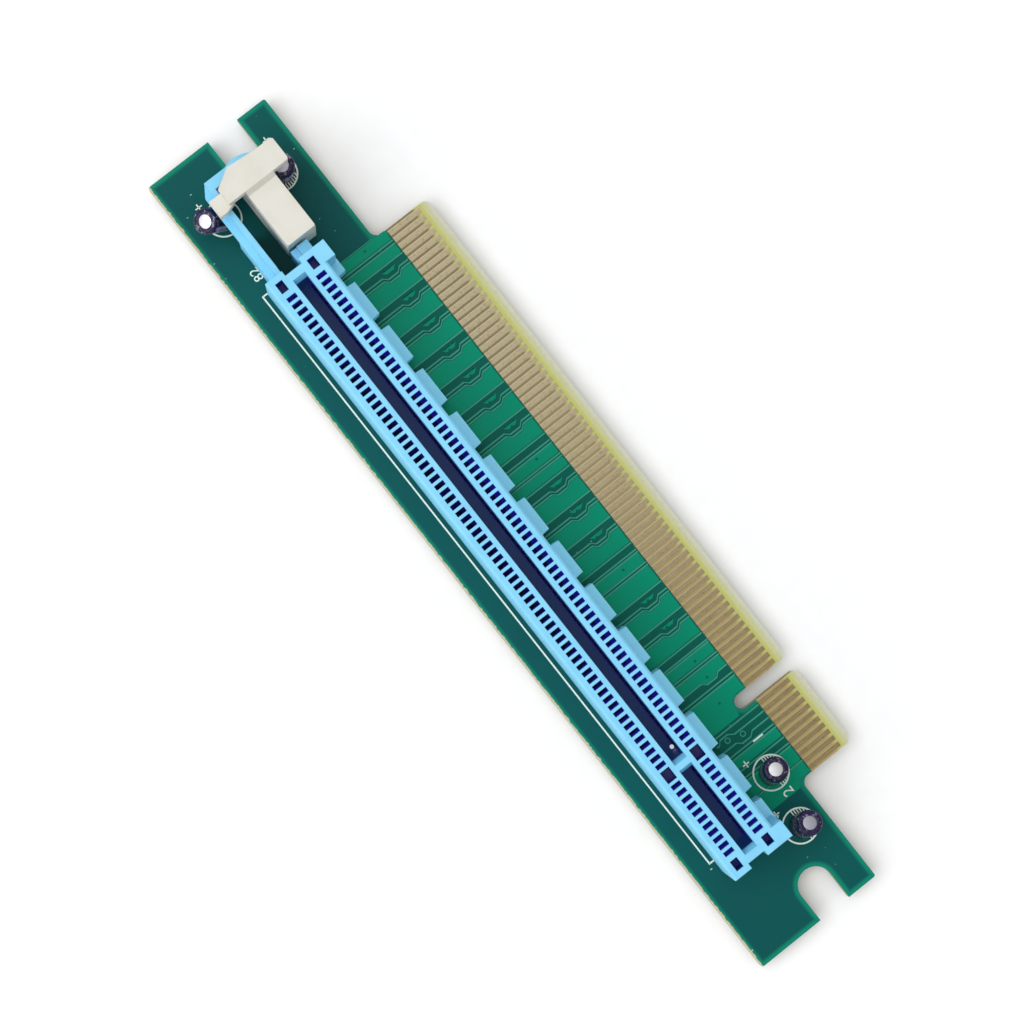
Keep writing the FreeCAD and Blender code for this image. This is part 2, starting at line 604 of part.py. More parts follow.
def lean_direction(name):
    """Unit vector along the axis of a leaning capacitor."""
    _, lean, heading, _ = CAPACITORS[name]
    side = math.sin(math.radians(lean))
    turn = math.radians(heading)
    return FreeCAD.Vector(side * math.cos(turn), side * math.sin(turn), math.cos(math.radians(lean)))


def stand_on_board(shape, name):
    """Lean an upright piece made on the Z axis and set it over its leads."""
    (x, y), _, _, _ = CAPACITORS[name]
    placed = shape.copy()
    turn = FreeCAD.Rotation(FreeCAD.Vector(0, 0, 1), lean_direction(name))
    placed.Placement = FreeCAD.Placement(FreeCAD.Vector(x, y, CAPACITOR_STANDOFF), turn)
    return placed


def capacitor_can(name):
    """Sealed can."""
    return stand_on_board(Part.makeCylinder(CAN_RADIUS, CAN_LENGTH), name)


def capacitor_sleeve(name):
    """Shrunk sleeve round the can, up to its rim."""
    length = CAN_LENGTH - SLEEVE_FOOT
    foot = FreeCAD.Vector(0, 0, SLEEVE_FOOT)
    outer = Part.makeCylinder(CAN_RADIUS + SLEEVE_THICKNESS, length, foot)
    return stand_on_board(outer.cut(Part.makeCylinder(CAN_RADIUS, length, foot)), name)


def capacitor_leads(name):
    """Two leads from the board up to the floor of the leaning can, each drawn with eight sides."""
    (x, y), _, _, _ = CAPACITORS[name]
    axis = lean_direction(name)
    floor = FreeCAD.Vector(x, y, CAPACITOR_STANDOFF)
    over = Part.makeCylinder(2 * CAN_LENGTH, 2 * CAN_LENGTH, floor, axis)
    leads = []
    for lead_x, lead_y in lead_places(name):
        base = ring(lead_x, lead_y, 0, LEAD_RADIUS, 8)
        face = Part.Face(Part.makePolygon(base + base[:1]))
        leads.append(face.extrude(FreeCAD.Vector(0, 0, CAN_LENGTH)).cut(over))
    return Part.makeCompound(leads)


def finish(shape):
    """Move a piece from the working frame to the part's own frame."""
    placed = shape.copy()
    placed.translate(FreeCAD.Vector(-BOARD_LENGTH / 2, -OVERALL_WIDTH / 2, -LOWEST))
    return placed


def build():
    """Every node of the part by name."""
    nodes = {
        "circuit_board": circuit_board(),
        "edge_fingers_front": edge_fingers(True),
        "edge_fingers_back": edge_fingers(False),
        "slot_housing": slot_housing(),
        "contacts_tab_side_inner": contact_row(1, TAIL_INNER),
        "contacts_tab_side_outer": contact_row(1, TAIL_OUTER),
        "contacts_plain_side_inner": contact_row(-1, TAIL_INNER),
        "contacts_plain_side_outer": contact_row(-1, TAIL_OUTER),
        "retention_latch": retention_latch(),
    }
    for name in CAPACITORS:
        nodes[name + "_can"] = capacitor_can(name)
        nodes[name + "_sleeve"] = capacitor_sleeve(name)
        nodes[name + "_leads"] = capacitor_leads(name)
    return nodes


os.makedirs("parts", exist_ok=True)
for node_name, node_shape in build().items():
    placed_shape = finish(node_shape)
    placed_shape.exportStep("parts/" + node_name + ".step")
    print(node_name, len(placed_shape.Solids), "solids", round(placed_shape.Volume, 2), placed_shape.isValid())
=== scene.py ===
"""Looks of a riser card for a 16-lane expansion slot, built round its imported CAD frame.

Sizes are written in millimetres on the board: X from the latch end, Y from the plain long edge towards the
finger tab, Z up from the component face. ``spot`` turns them into metres in the part's own frame.
"""

import logging
import math
from contextlib import contextmanager
from dataclasses import dataclass, field
from enum import Enum
from typing import Any, Callable, Iterator, Sequence, Union

import bmesh
import bpy
from mathutils import Matrix, Vector


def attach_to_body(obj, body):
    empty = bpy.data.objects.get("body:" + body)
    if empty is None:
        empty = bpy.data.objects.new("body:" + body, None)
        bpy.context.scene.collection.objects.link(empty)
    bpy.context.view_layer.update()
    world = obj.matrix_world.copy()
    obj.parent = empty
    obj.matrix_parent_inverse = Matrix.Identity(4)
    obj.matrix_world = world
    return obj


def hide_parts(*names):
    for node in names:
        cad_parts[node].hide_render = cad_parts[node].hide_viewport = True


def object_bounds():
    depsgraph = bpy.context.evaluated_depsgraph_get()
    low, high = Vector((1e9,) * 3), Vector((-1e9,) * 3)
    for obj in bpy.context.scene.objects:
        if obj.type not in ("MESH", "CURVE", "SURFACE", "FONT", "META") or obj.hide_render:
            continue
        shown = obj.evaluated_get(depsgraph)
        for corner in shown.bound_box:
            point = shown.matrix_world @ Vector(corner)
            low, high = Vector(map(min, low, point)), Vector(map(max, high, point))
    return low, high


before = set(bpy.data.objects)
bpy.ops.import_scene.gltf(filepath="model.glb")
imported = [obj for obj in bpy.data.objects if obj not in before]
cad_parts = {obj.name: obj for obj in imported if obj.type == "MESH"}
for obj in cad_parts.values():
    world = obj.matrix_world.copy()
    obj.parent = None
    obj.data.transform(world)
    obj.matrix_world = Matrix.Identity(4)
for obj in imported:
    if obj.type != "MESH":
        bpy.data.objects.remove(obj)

CAD_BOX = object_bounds()
LOG = logging.getLogger("riser_card")
METRE = 1000
BOARD_LENGTH = 120.8
OVERALL_WIDTH = 26.0
BODY_WIDTH = 17.9
LOWEST = -2.7
SOLDER_FACE = -1.6
MIDDLE_X = BOARD_LENGTH / 2
SLOT_Y = 7.15
KEY_X = 93.8
SAME_PLACE = 1e-7
CROWN_RISE = 0.25

Signal = bpy.types.NodeSocket
Material = bpy.types.Material
Piece = bpy.types.Object
Value = Union[Signal, float]
Tint = Union[Signal, str]
Span = tuple[float, float]
Station = tuple[float, float, float]
Profile = tuple[Span, ...]


class Body(Enum):
    """Moving bodies of the part."""

    CARD = "card"
    LATCH = "latch"


class Layer(Enum):
    """Heights in millimetres of what is laid on the component face."""

    COPPER = 0.035
    INK = 0.06


class Axis(Enum):
    """Direction that an ink bar runs in."""

    ALONG = "along the board"
    ACROSS = "across the board"


class MinusSide(Enum):
    """Side of a capacitor's circle that is hatched."""

    FAR_END = "towards the end without the latch"
    TAB = "towards the finger tab"


class Element(Enum):
    """What is selected in edit mode."""

    EDGE = "EDGE"
    FACE = "FACE"


class Kind(Enum):
    """Kinds of shader node that the finishes are mixed from."""

    PLACE = "ShaderNodeTexCoord"
    MAPPING = "ShaderNodeMapping"
    SPLIT = "ShaderNodeSeparateXYZ"
    GATHER = "ShaderNodeCombineXYZ"
    MATH = "ShaderNodeMath"
    VECTOR_MATH = "ShaderNodeVectorMath"
    RANGE = "ShaderNodeMapRange"
    MIX = "ShaderNodeMix"
    NOISE = "ShaderNodeTexNoise"
    SOFT_EDGE = "ShaderNodeBevel"
    BUMP = "ShaderNodeBump"


def spot(x: float, y: float, z: float) -> Vector:
    """Place on the board in millimetres as a place in the part's frame in metres."""
    return Vector((x - MIDDLE_X, y - OVERALL_WIDTH / 2, z - LOWEST)) / METRE


def along(x: float) -> Vector:
    """Offset along the board in millimetres as an offset in metres."""
    return Vector((x / METRE, 0, 0))


def linear(code: str) -> tuple[float, float, float, float]:
    """Turn an sRGB hex colour into linear values.

    Args:
        code: Six hex digits, such as "0f8262".

    Returns:
        Linear red, green and blue, and an alpha of 1.
    """
    parts = [int(code[i:i + 2], 16) / 255 for i in (0, 2, 4)]
    values = [c / 12.92 if c <= 0.04045 else ((c + 0.055) / 1.055) ** 2.4 for c in parts]
    return (values[0], values[1], values[2], 1.0)


@dataclass
class Paint:
    """A material being mixed: its shader, and coordinates in millimetres on the board.

    Attributes:
        name: Name of the real material.
        roughness: Roughness all over, unless a pattern is linked to it later.
        metallic: 1 for bare metal, less for metal under a dull film.
        ior: Refractive index of a plastic; a metal keeps the default.
        gloss: Specular level, 0.5 for a clean surface and less for a dull lacquer.
        local: Object coordinates, in metres.
        place: The same place in millimetres on the board, which x, y and z give one by one.
    """

    name: str
    roughness: float
    metallic: float = 0.0
    ior: float = 1.5
    gloss: float = 0.5
    material: Material = field(init=False)
    tree: bpy.types.NodeTree = field(init=False)
    shader: bpy.types.Node = field(init=False)
    local: Signal = field(init=False)
    place: Signal = field(init=False)
    x: Signal = field(init=False)
    y: Signal = field(init=False)
    z: Signal = field(init=False)

    def __post_init__(self) -> None:
        """Make the material, its shader and its coordinates."""
        self.material = bpy.data.materials.new(self.name)
        self.material.use_nodes = True
        self.tree = self.material.node_tree
        self.shader = self.tree.nodes["Principled BSDF"]
        fixed = {"Roughness": self.roughness, "Metallic": self.metallic, "Specular IOR Level": self.gloss}
        if not self.metallic:
            fixed["IOR"] = self.ior
        for name, value in fixed.items():
            self.shader.inputs[name].default_value = value
        self.local = self.add(Kind.PLACE, {}, "Object")
        shift, scale = (MIDDLE_X, OVERALL_WIDTH / 2, LOWEST), (METRE, METRE, METRE)
        self.place = self.add(Kind.MAPPING, {"Vector": self.local, "Location": shift, "Scale": scale})
        self.x, self.y, self.z = self.add(Kind.SPLIT, {0: self.place}).node.outputs[:3]

    def add(self, kind: Kind, inputs: dict[Any, Any], output: Any = 0, **settings: Any) -> Signal:
        """Add one shader node with its settings, values and links.

        Args:
            kind: Kind of node.
            inputs: Value or output socket for each input, by name or by number.
            output: Name or number of the output that is wanted.
            **settings: Properties of the node itself.

        Returns:
            The wanted output of the new node.
        """
        node = self.tree.nodes.new(kind.value)
        for name, value in settings.items():
            setattr(node, name, value)
        for key, value in inputs.items():
            if isinstance(value, Signal):
                self.tree.links.new(value, node.inputs[key])
            else:
                node.inputs[key].default_value = value
        return node.outputs[output]

    def link(self, name: str, pattern: Signal) -> None:
        """Link a pattern to one of the shader's sockets."""
        self.tree.links.new(pattern, self.shader.inputs[name])

    def grain(self, scale: Union[float, Station], detail: float = 3.0) -> Signal:
        """Noise on the board.

        Args:
            scale: Grains a millimetre, the same every way or one number for each axis.
            detail: How many finer layers it has.

        Returns:
            The noise, from 0 to 1.
        """
        scales = scale if isinstance(scale, tuple) else (scale, scale, scale)
        stretched = self.add(Kind.MAPPING, {"Vector": self.place, "Scale": scales})
        return self.add(Kind.NOISE, {"Vector": stretched, "Scale": 1.0, "Detail": detail}, "Fac")

    def fade(self, under: Tint, over: Tint, value: Value, start: float, end: float, share: float = 1.0,
             only: Union[Signal, None] = None) -> Signal:
        """Colour that changes smoothly as a value passes from start to end.

        Args:
            under: Colour where the value is at start or before it, as a hex code or a signal.
            over: Colour where the value is at end or past it.
            value: Number that the change follows.
            start: Value where the change begins; it may be the larger one.
            end: Value where the change is complete.
            share: How much of the second colour shows at most.
            only: Mask that limits the change to a place, or None for everywhere.

        Returns:
            The mixed colour.
        """
        first, second = (linear(tint) if isinstance(tint, str) else tint for tint in (under, over))
        bounds = {"Value": value, "From Min": start, "From Max": end, "To Max": share}
        mask = self.add(Kind.RANGE, bounds, interpolation_type="SMOOTHSTEP")
        if only is not None:
            mask = self.add(Kind.MATH, {0: mask, 1: only}, operation="MULTIPLY")
        return self.add(Kind.MIX, {0: mask, 6: first, 7: second}, 2, data_type="RGBA")

    def scaled(self, pattern: Value, factor: float, base: Value) -> Signal:
        """Base value with so much of a pattern added to it."""
        part = self.add(Kind.MATH, {0: pattern, 1: factor}, operation="MULTIPLY")
        return self.add(Kind.MATH, {0: part, 1: base}, operation="ADD")

    def in_band(self, value: Value, low: float, high: float) -> Signal:
        """Mask where a value lies between two bounds.

        Args:
            value: Number to compare.
            low: Lower bound.
            high: Upper bound.

        Returns:
            The mask, 1 inside the band and 0 outside.
        """
        above = self.add(Kind.MATH, {0: value, 1: low}, operation="GREATER_THAN")
        below = self.add(Kind.MATH, {0: value, 1: high}, operation="LESS_THAN")
        return self.add(Kind.MATH, {0: above, 1: below}, operation="MULTIPLY")

    def from_slot(self, past_end: Value, across: Value, radius: float) -> Signal:
        """Distance from the rim of a round-ended slot.

        Args:
            past_end: How far a point lies past the middle of the slot's round end.
            across: How far it lies from the slot's middle line.
            radius: Half the slot's width, or 0 for a square corner.

        Returns:
            The distance, negative inside the slot.
        """
        past = self.add(Kind.MATH, {0: past_end, 1: 0.0}, operation="MAXIMUM")
        offset = self.add(Kind.GATHER, {0: past, 1: across})
        length = self.add(Kind.VECTOR_MATH, {0: offset}, "Value", operation="LENGTH")
        return self.add(Kind.MATH, {0: length, 1: radius}, operation="SUBTRACT")

    def emboss(self, height: Signal, strength: float, depth_mm: float, edge_mm: float = 0.0) -> None:
        """Raise the surface by a height pattern.

        Args:
            height: Pattern from 0 to 1.
            strength: How much of it shows.
            depth_mm: Real depth of the pattern.
            edge_mm: Radius of the soft edges that moulding leaves, or 0 for none.
        """
        inputs = {"Height": height, "Strength": strength, "Distance": depth_mm / METRE}
        if edge_mm:
            inputs["Normal"] = self.add(Kind.SOFT_EDGE, {"Radius": edge_mm / METRE}, samples=4)
        self.link("Normal", self.add(Kind.BUMP, inputs))


@dataclass(frozen=True)
class SolderMaskBoard:
    """Glass-epoxy laminate under green solder mask."""

    mask: str = "0a4c4c"
    mask_cloud: str = "085450"
    between_pours: str = "075a4d"
    border: str = "0e7d65"
    gap_tan_and_shade: str = "86765a"
    gap_light: str = "ab9663"
    strip_inner: str = "b9b96a"
    strip_outer: str = "cfd0ba"
    clouded: str = "a39d68"
    sawn_edge: str = "c4b795"
    sawn_shade: str = "8f8762"
    solder: str = "c8c8c4"
    dust: str = "c9d6d0"
    greener_y: Span = (9.0, 10.5)
    border_fade: Span = (0.8, 0.25)
    gap_fade_x: Span = (30.0, 90.0)
    mask_end_y: Span = (19.65, 19.73)
    finger_end_y: Span = (23.55, 24.25)
    strip_y: Span = (24.55, 25.9)
    bevel_y: float = 25.15
    screw_notch_y: float = 11.45
    screw_notch_radius: float = 2.25
    screw_notch_depth: float = 6.0
    tab: Span = (21.68, 105.92)
    key_radius: float = 0.95
    key_depth: float = 8.7
    face_margin: float = 0.015
    solder_margin: float = 0.012
    weave_pitch: float = 0.45

    def outline_distance(self, p: Paint) -> Signal:
        """Distance from the nearest edge of the board, its notches and its tab.

        Args:
            p: Material being mixed.

        Returns:
            The distance in millimetres.
        """
        far_end = p.add(Kind.MATH, {0: BOARD_LENGTH, 1: p.x}, operation="SUBTRACT")
        centre = self.screw_notch_depth - self.screw_notch_radius
        across = p.add(Kind.MATH, {0: p.y, 1: self.screw_notch_y}, operation="SUBTRACT")
        distances = [far_end, p.y]
        for end in (p.x, far_end):
            past_end = p.add(Kind.MATH, {0: end, 1: centre}, operation="SUBTRACT")
            distances.append(p.from_slot(past_end, across, self.screw_notch_radius))
        key_end = OVERALL_WIDTH - self.key_depth + self.key_radius
        before_key = p.add(Kind.MATH, {0: key_end, 1: p.y}, operation="SUBTRACT")
        beside_key = p.add(Kind.MATH, {0: p.x, 1: KEY_X}, operation="SUBTRACT")
        distances.append(p.from_slot(before_key, beside_key, self.key_radius))
        # Off the tab the body's edge counts; on it the distance is taken from the tab's own ends.
        low, high = self.tab
        off_middle = p.add(Kind.MATH, {0: p.x, 1: (low + high) / 2}, operation="SUBTRACT")
        off_middle = p.add(Kind.MATH, {0: off_middle}, operation="ABSOLUTE")
        in_tab = p.add(Kind.MATH, {0: (high - low) / 2, 1: off_middle}, operation="SUBTRACT")
        in_tab = p.add(Kind.MATH, {0: in_tab, 1: 0.0}, operation="MAXIMUM")
        in_body = p.add(Kind.MATH, {0: BODY_WIDTH, 1: p.y}, operation="SUBTRACT")
        distances.append(p.from_slot(in_body, in_tab, 0.0))
        nearest = p.x
        for distance in distances:
            nearest = p.add(Kind.MATH, {0: nearest, 1: distance}, operation="MINIMUM")
        return nearest

    def lacquer(self, p: Paint, cloud: Signal) -> Signal:
        """Colour of the mask: dark, and brighter along the outline where the inner planes end.

        Args:
            p: Material being mixed.
            cloud: Slow pattern that the tone follows.

        Returns:
            The colour.
        """
        green = p.fade(self.mask, self.mask_cloud, cloud, 0.0, 1.0)
        green = p.fade(green, self.between_pours, p.y, *self.greener_y, only=p.in_band(p.x, *self.tab))
        green = p.fade(green, self.border, self.outline_distance(p), *self.border_fade)
        # A few specks of dust, drawn 0.3 mm long so that they show.
        return p.fade(green, self.dust, p.grain((2.2, 0.9, 1.0), detail=1.0), start=0.77, end=0.8, share=0.8)

    def bare(self, p: Paint) -> Signal:
        """Colour of the bare laminate: brown between the fingers, darker towards the latch end as painted
        groove shade, yellow-green and then pale beyond them.

        Args:
            p: Material being mixed.

        Returns:
            The colour.
        """
        # Between the fingers: the laminate's own brown, with painted shade in the grooves that fades out
        # along the board.
        between = p.fade(self.gap_tan_and_shade, self.gap_light, p.x, *self.gap_fade_x)
        beyond = p.fade(self.strip_inner, self.strip_outer, p.y, *self.strip_y)
        colour = p.fade(between, beyond, p.y, *self.finger_end_y)
        return p.fade(colour, self.clouded, p.grain(2.2), start=0.4, end=0.8, share=0.2)

    def material(self) -> Material:
        """Mix the finish.

        Returns:
            The material.
        """
        # Solder mask is a thin lacquer: even, a little orange-peeled, the glass weave just showing.
        p = Paint("solder mask on glass epoxy", roughness=0.45, gloss=0.06)
        cloud = p.grain(0.09)
        ragged = p.add(Kind.MATH, {0: p.grain((1.6, 0.4, 1.0)), 1: 0.5}, operation="SUBTRACT")
        boundary = p.scaled(ragged, factor=0.16, base=p.y)
        colour = p.fade(self.lacquer(p, cloud), self.bare(p), boundary, *self.mask_end_y)
        # The plain long edge was snapped off its panel, so a thin strip of the mask is chipped away there.
        chipped = p.scaled(ragged, factor=0.5, base=p.y)
        colour = p.fade(colour, self.sawn_edge, chipped, start=0.26, end=0.16)
        # Sawn and routed edges show the laminate's layers, drawn 0.2 mm apart so that they show.
        sawn = p.fade(self.sawn_edge, self.sawn_shade, p.grain((0.9, 0.9, 5.0)), start=0.2, end=0.8)
        on_edge = p.in_band(p.z, SOLDER_FACE + self.face_margin, -self.face_margin)
        off_bevel = p.add(Kind.MATH, {0: p.y, 1: self.bevel_y}, operation="LESS_THAN")
        colour = p.fade(colour, sawn, off_bevel, 0.0, 1.0, only=on_edge)
        soldered = p.add(Kind.MATH, {0: p.z, 1: SOLDER_FACE - self.solder_margin}, operation="LESS_THAN")
        p.link("Base Color", p.fade(colour, self.solder, soldered, 0.0, 1.0))
        p.link("Metallic", soldered)
        p.link("Roughness", p.scaled(on_edge, factor=0.4, base=p.scaled(cloud, factor=0.12, base=0.34)))
        # Plain weave of the glass cloth, about 0.45 mm from thread to thread.
        threads = []
        for axis in (p.x, p.y):
            angle = p.add(Kind.MATH, {0: axis, 1: 2 * math.pi / self.weave_pitch}, operation="MULTIPLY")
            threads.append(p.add(Kind.MATH, {0: angle}, operation="SINE"))
        weave = p.add(Kind.MATH, {0: threads[0], 1: threads[1]}, operation="MULTIPLY")
        p.emboss(weave, strength=0.12, depth_mm=0.012)
        return p.material


@dataclass(frozen=True)
class CopperUnderMask:
    """Copper seen through the solder mask, which is brighter over metal than over bare laminate."""

    name: str
    crown: str
    cloud: str
    shoulder_painted_shading: str
    crown_height: Span = (0.03605, 0.042)

    def material(self) -> Material:
        """Mix the finish.

        Returns:
            The material.
        """
        # The lacquer lies smoothly over the copper; down the shoulders it takes the shoulder colour, which is
        # painted shading: a highlight on pours, shade on traces and vias.
        p = Paint(self.name, roughness=0.36, gloss=0.06)
        crown = p.fade(self.crown, self.cloud, p.grain(0.12), 0.0, 1.0)
        p.link("Base Color", p.fade(self.shoulder_painted_shading, crown, p.z, *self.crown_height))
        p.emboss(p.grain(3.0), strength=0.1, depth_mm=0.01)
        return p.material


@dataclass(frozen=True)
class HardGoldPlating:
    """Hard gold over nickel on the edge fingers, dulled and scratched by use."""

    bright: str = "a0957a"
    far_end_tone: str = "877653"
    wiped: str = "b3a37c"
    stained: str = "5f4a34"
    painted_edge_highlight: str = "c6b88f"
    tone_fade_x: Span = (45.0, 100.0)
    gap_middle: float = -0.2
    edge_highlight_from_middle: Span = (0.21, 0.31)

    def material(self) -> Material:
        """Mix the finish: warm metal, a painted highlight down one edge of each finger, fine wipe marks.

        Returns:
            The material.
        """
        # Worn hard gold is a warm satin metal under a dull film; one edge of each finger gets a painted
        # highlight.
        p = Paint("hard gold over nickel", roughness=0.4, metallic=0.75)
        # The tone darkens along the board, away from the latch end.
        tone = p.fade(self.bright, self.far_end_tone, p.x, *self.tone_fade_x)
        # Wipe marks from insertion run across the board, 0.1 mm apart.
        marks = p.grain((9.0, 0.5, 1.0), detail=4.0)
        tone = p.fade(tone, self.wiped, marks, start=0.45, end=0.75, share=0.5)
        tone = p.fade(tone, self.stained, p.grain(3.0), start=0.5, end=0.75, share=0.35)
        # The fingers repeat every millimetre, so the fraction of X says where on a finger a point lies.
        shifted = p.add(Kind.MATH, {0: p.x, 1: self.gap_middle}, operation="SUBTRACT")
        phase = p.add(Kind.MATH, {0: shifted}, operation="FRACT")
        off_middle = p.scaled(phase, factor=-1.0, base=0.5)
        # Painted highlight: a paler band down one edge of each finger.
        p.link("Base Color", p.fade(tone, self.painted_edge_highlight, off_middle, *self.edge_highlight_from_middle, share=0.6))
        p.link("Roughness", p.scaled(marks, factor=0.25, base=0.32))
        p.emboss(marks, strength=0.2, depth_mm=0.01)
        return p.material


@dataclass(frozen=True)
class MouldedPolyester:
    """Light blue glass-filled polyester of the socket."""

    top: str = "80cdee"
    cloudy: str = "73bfe2"
    feet_painted_light: str = "8edcf6"
    pocket_painted_shade: str = "0d1146"
    pocket_glow: str = "1c149a"
    blind_glow: str = "0c1ea0"
    # Painted shade of the slot's depths.
    slot: str = "0a2344"
    slot_glow: str = "1a2088"
    floor_glow: str = "0c3066"
    fleck_dirt_and_glow: str = "e8ecee"
    comb_x: Span = (19.85, 107.75)
    contacts_x: Span = (21.4, 106.2)
    windows_aside: Span = (1.48, 2.92)
    slot_aside: float = 1.45
    wall_aside: Span = (1.0, 0.6)
    key_window_reach: float = 1.0
    foot_top: float = 4.1
    foot_y: Span = (10.88, 10.95)
    pocket_shade_z: Span = (11.2, 10.5)
    glow_z: Span = (11.1, 10.0)
    slot_shade_z: Span = (10.4, 9.4)
    slot_glow_z: Span = (10.6, 9.2)
    floor_below: float = 6.0
    fleck_place: Station = (92.5, 7.9, 0.0)
    fleck_radius: Span = (0.32, 0.22)

    def material(self) -> Material:
        """Mix the finish: satin plastic whose deep narrow cavities are painted navy as shade, with a painted
        glow.

        Returns:
            The material.
        """
        # Light goes a little way into this plastic: its outer edges are pale. Its narrow pockets and slot are
        # painted deep blue as shade.
        p = Paint("glass-filled polyester, moulded", roughness=0.45, ior=1.57, gloss=0.35)
        off_slot = p.add(Kind.MATH, {0: p.y, 1: SLOT_Y}, operation="SUBTRACT")
        aside = p.add(Kind.MATH, {0: off_slot}, operation="ABSOLUTE")
        comb = p.in_band(p.x, *self.comb_x)
        windows = p.in_band(aside, *self.windows_aside)
        at_windows = p.add(Kind.MATH, {0: windows, 1: comb}, operation="MULTIPLY")
        at_key = p.add(Kind.MATH, {0: p.x, 1: KEY_X, 2: self.key_window_reach}, operation="COMPARE")
        off_key = p.add(Kind.MATH, {0: 1.0, 1: at_key}, operation="SUBTRACT")
        contacts = p.add(Kind.MATH, {0: p.in_band(p.x, *self.contacts_x), 1: off_key}, operation="MULTIPLY")
        at_contacts = p.add(Kind.MATH, {0: at_windows, 1: contacts}, operation="MULTIPLY")
        in_slot = p.add(Kind.MATH, {0: aside, 1: self.slot_aside}, operation="LESS_THAN")
        at_slot = p.add(Kind.MATH, {0: in_slot, 1: comb}, operation="MULTIPLY")
        deep = p.add(Kind.MATH, {0: p.z, 1: self.floor_below}, operation="LESS_THAN")
        on_floor = p.add(Kind.MATH, {0: deep, 1: at_slot}, operation="MULTIPLY")
        low = p.add(Kind.MATH, {0: p.z, 1: self.foot_top}, operation="LESS_THAN")
        skin = p.fade(self.top, self.cloudy, p.grain(0.5), 0.0, 1.0)
        # Painted light: the low feet are made paler than the top, to light their shaded faces.
        skin = p.fade(skin, self.feet_painted_light, p.y, *self.foot_y, only=low)
        # Painted shade: the windows darken to navy below the top.
        skin = p.fade(skin, self.pocket_painted_shade, p.z, *self.pocket_shade_z, only=at_windows)
        # Painted shade: the slot darkens to navy with depth.
        skin = p.fade(skin, self.slot, p.z, *self.slot_shade_z, only=at_slot)
        # One speck of pale dirt lies in the slot, about half a millimetre wide; it also gets a painted glow.
        flat = p.add(Kind.GATHER, {0: p.x, 1: p.y})
        gap = p.add(Kind.VECTOR_MATH, {0: flat, 1: self.fleck_place}, "Value", operation="DISTANCE")
        p.link("Base Color", p.fade(skin, self.fleck_dirt_and_glow, gap, *self.fleck_radius, only=on_floor))
        # Painted glow: emission makes the pockets and the slot glow navy from within, standing in for light
        # that comes through the thin walls.
        painted_glow = p.fade("000000", self.blind_glow, p.z, *self.glow_z, share=0.12, only=at_windows)
        painted_glow = p.fade(painted_glow, self.pocket_glow, p.z, *self.glow_z, share=0.4, only=at_contacts)
        slot_glow = p.fade(self.slot_glow, self.floor_glow, aside, *self.wall_aside)
        painted_glow = p.fade(painted_glow, slot_glow, p.z, *self.slot_glow_z, share=0.35, only=at_slot)
        # Painted glow on the speck of dirt.
        painted_glow = p.fade(painted_glow, self.fleck_dirt_and_glow, gap, *self.fleck_radius, share=0.6, only=on_floor)
        p.link("Emission Color", painted_glow)
        p.shader.inputs["Emission Strength"].default_value = 1.0
        # Spark-eroded mould texture, drawn at 0.3 mm.
        p.emboss(p.grain(3.2), strength=0.15, depth_mm=0.02, edge_mm=0.13)
        return p.material


@dataclass(frozen=True)
class IvoryNylon:
    """Ivory nylon of the card latch."""

    body: str = "d3d1c8"
    warm: str = "cdc9bc"
    depth_share: float = 0.12
    depth: Station = (0.0012, 0.0009, 0.0006)

    def material(self) -> Material:
        """Mix the finish: matt ivory with soft edges, slightly warmer in places.

        Returns:
            The material.
        """
        # Light goes about a millimetre into nylon, so it looks soft, and its moulded skin is matt.
        p = Paint("nylon, moulded and matt", roughness=0.55, ior=1.53, gloss=0.3)
        p.shader.inputs["Subsurface Weight"].default_value = self.depth_share
        p.shader.inputs["Subsurface Radius"].default_value = self.depth
        p.link("Base Color", p.fade(self.body, self.warm, p.grain(0.35), start=0.35, end=0.8))
        # Fine mould grain, drawn at 0.25 mm.
        p.emboss(p.grain(4.0), strength=0.14, depth_mm=0.02, edge_mm=0.12)
        return p.material


@dataclass(frozen=True)
class StampedContact:
    """Phosphor bronze contacts, gold where they touch the card and tinned at the tail."""

    touch: str = "cfc08c"
    tail: str = "c9cac8"
    stamped: str = "8c8468"
    tail_z: Span = (2.2, 1.6)

    def material(self) -> Material:
        """Mix the finish: bright above, duller tin below, with fine stamping lines.

        Returns:
            The material.
        """
        # Stamped strip is bright with fine streaks, warm under its gold flash and grey under tin.
        p = Paint("phosphor bronze, gold flashed", roughness=0.3, metallic=1.0)
        lines = p.grain((0.6, 0.6, 6.0))
        metal = p.fade(self.touch, self.tail, p.z, *self.tail_z)
        p.link("Base Color", p.fade(metal, self.stamped, lines, 0.0, 1.0, share=0.3))
        p.link("Roughness", p.scaled(lines, factor=0.25, base=0.2))
        return p.material


@dataclass(frozen=True)
class DrawnAluminium:
    """Bare deep-drawn aluminium of a capacitor can, in a per-can tone that is a painted reflection."""

    metal: str
    marked: str = "a9a7ad"

    def material(self) -> Material:
        """Mix the finish: satin metal with faint drawing marks.

        Returns:
            The material.
        """
        # Deep drawing leaves a satin skin with faint upright streaks.
        p = Paint("deep-drawn aluminium", roughness=0.35, metallic=1.0)
        marks = p.grain((7.0, 7.0, 1.5), detail=4.0)
        p.link("Base Color", p.fade(self.metal, self.marked, marks, 0.0, 1.0, share=0.3))
        p.link("Roughness", p.scaled(marks, factor=0.3, base=0.28))
        p.emboss(marks, strength=0.15, depth_mm=0.01)
        return p.material


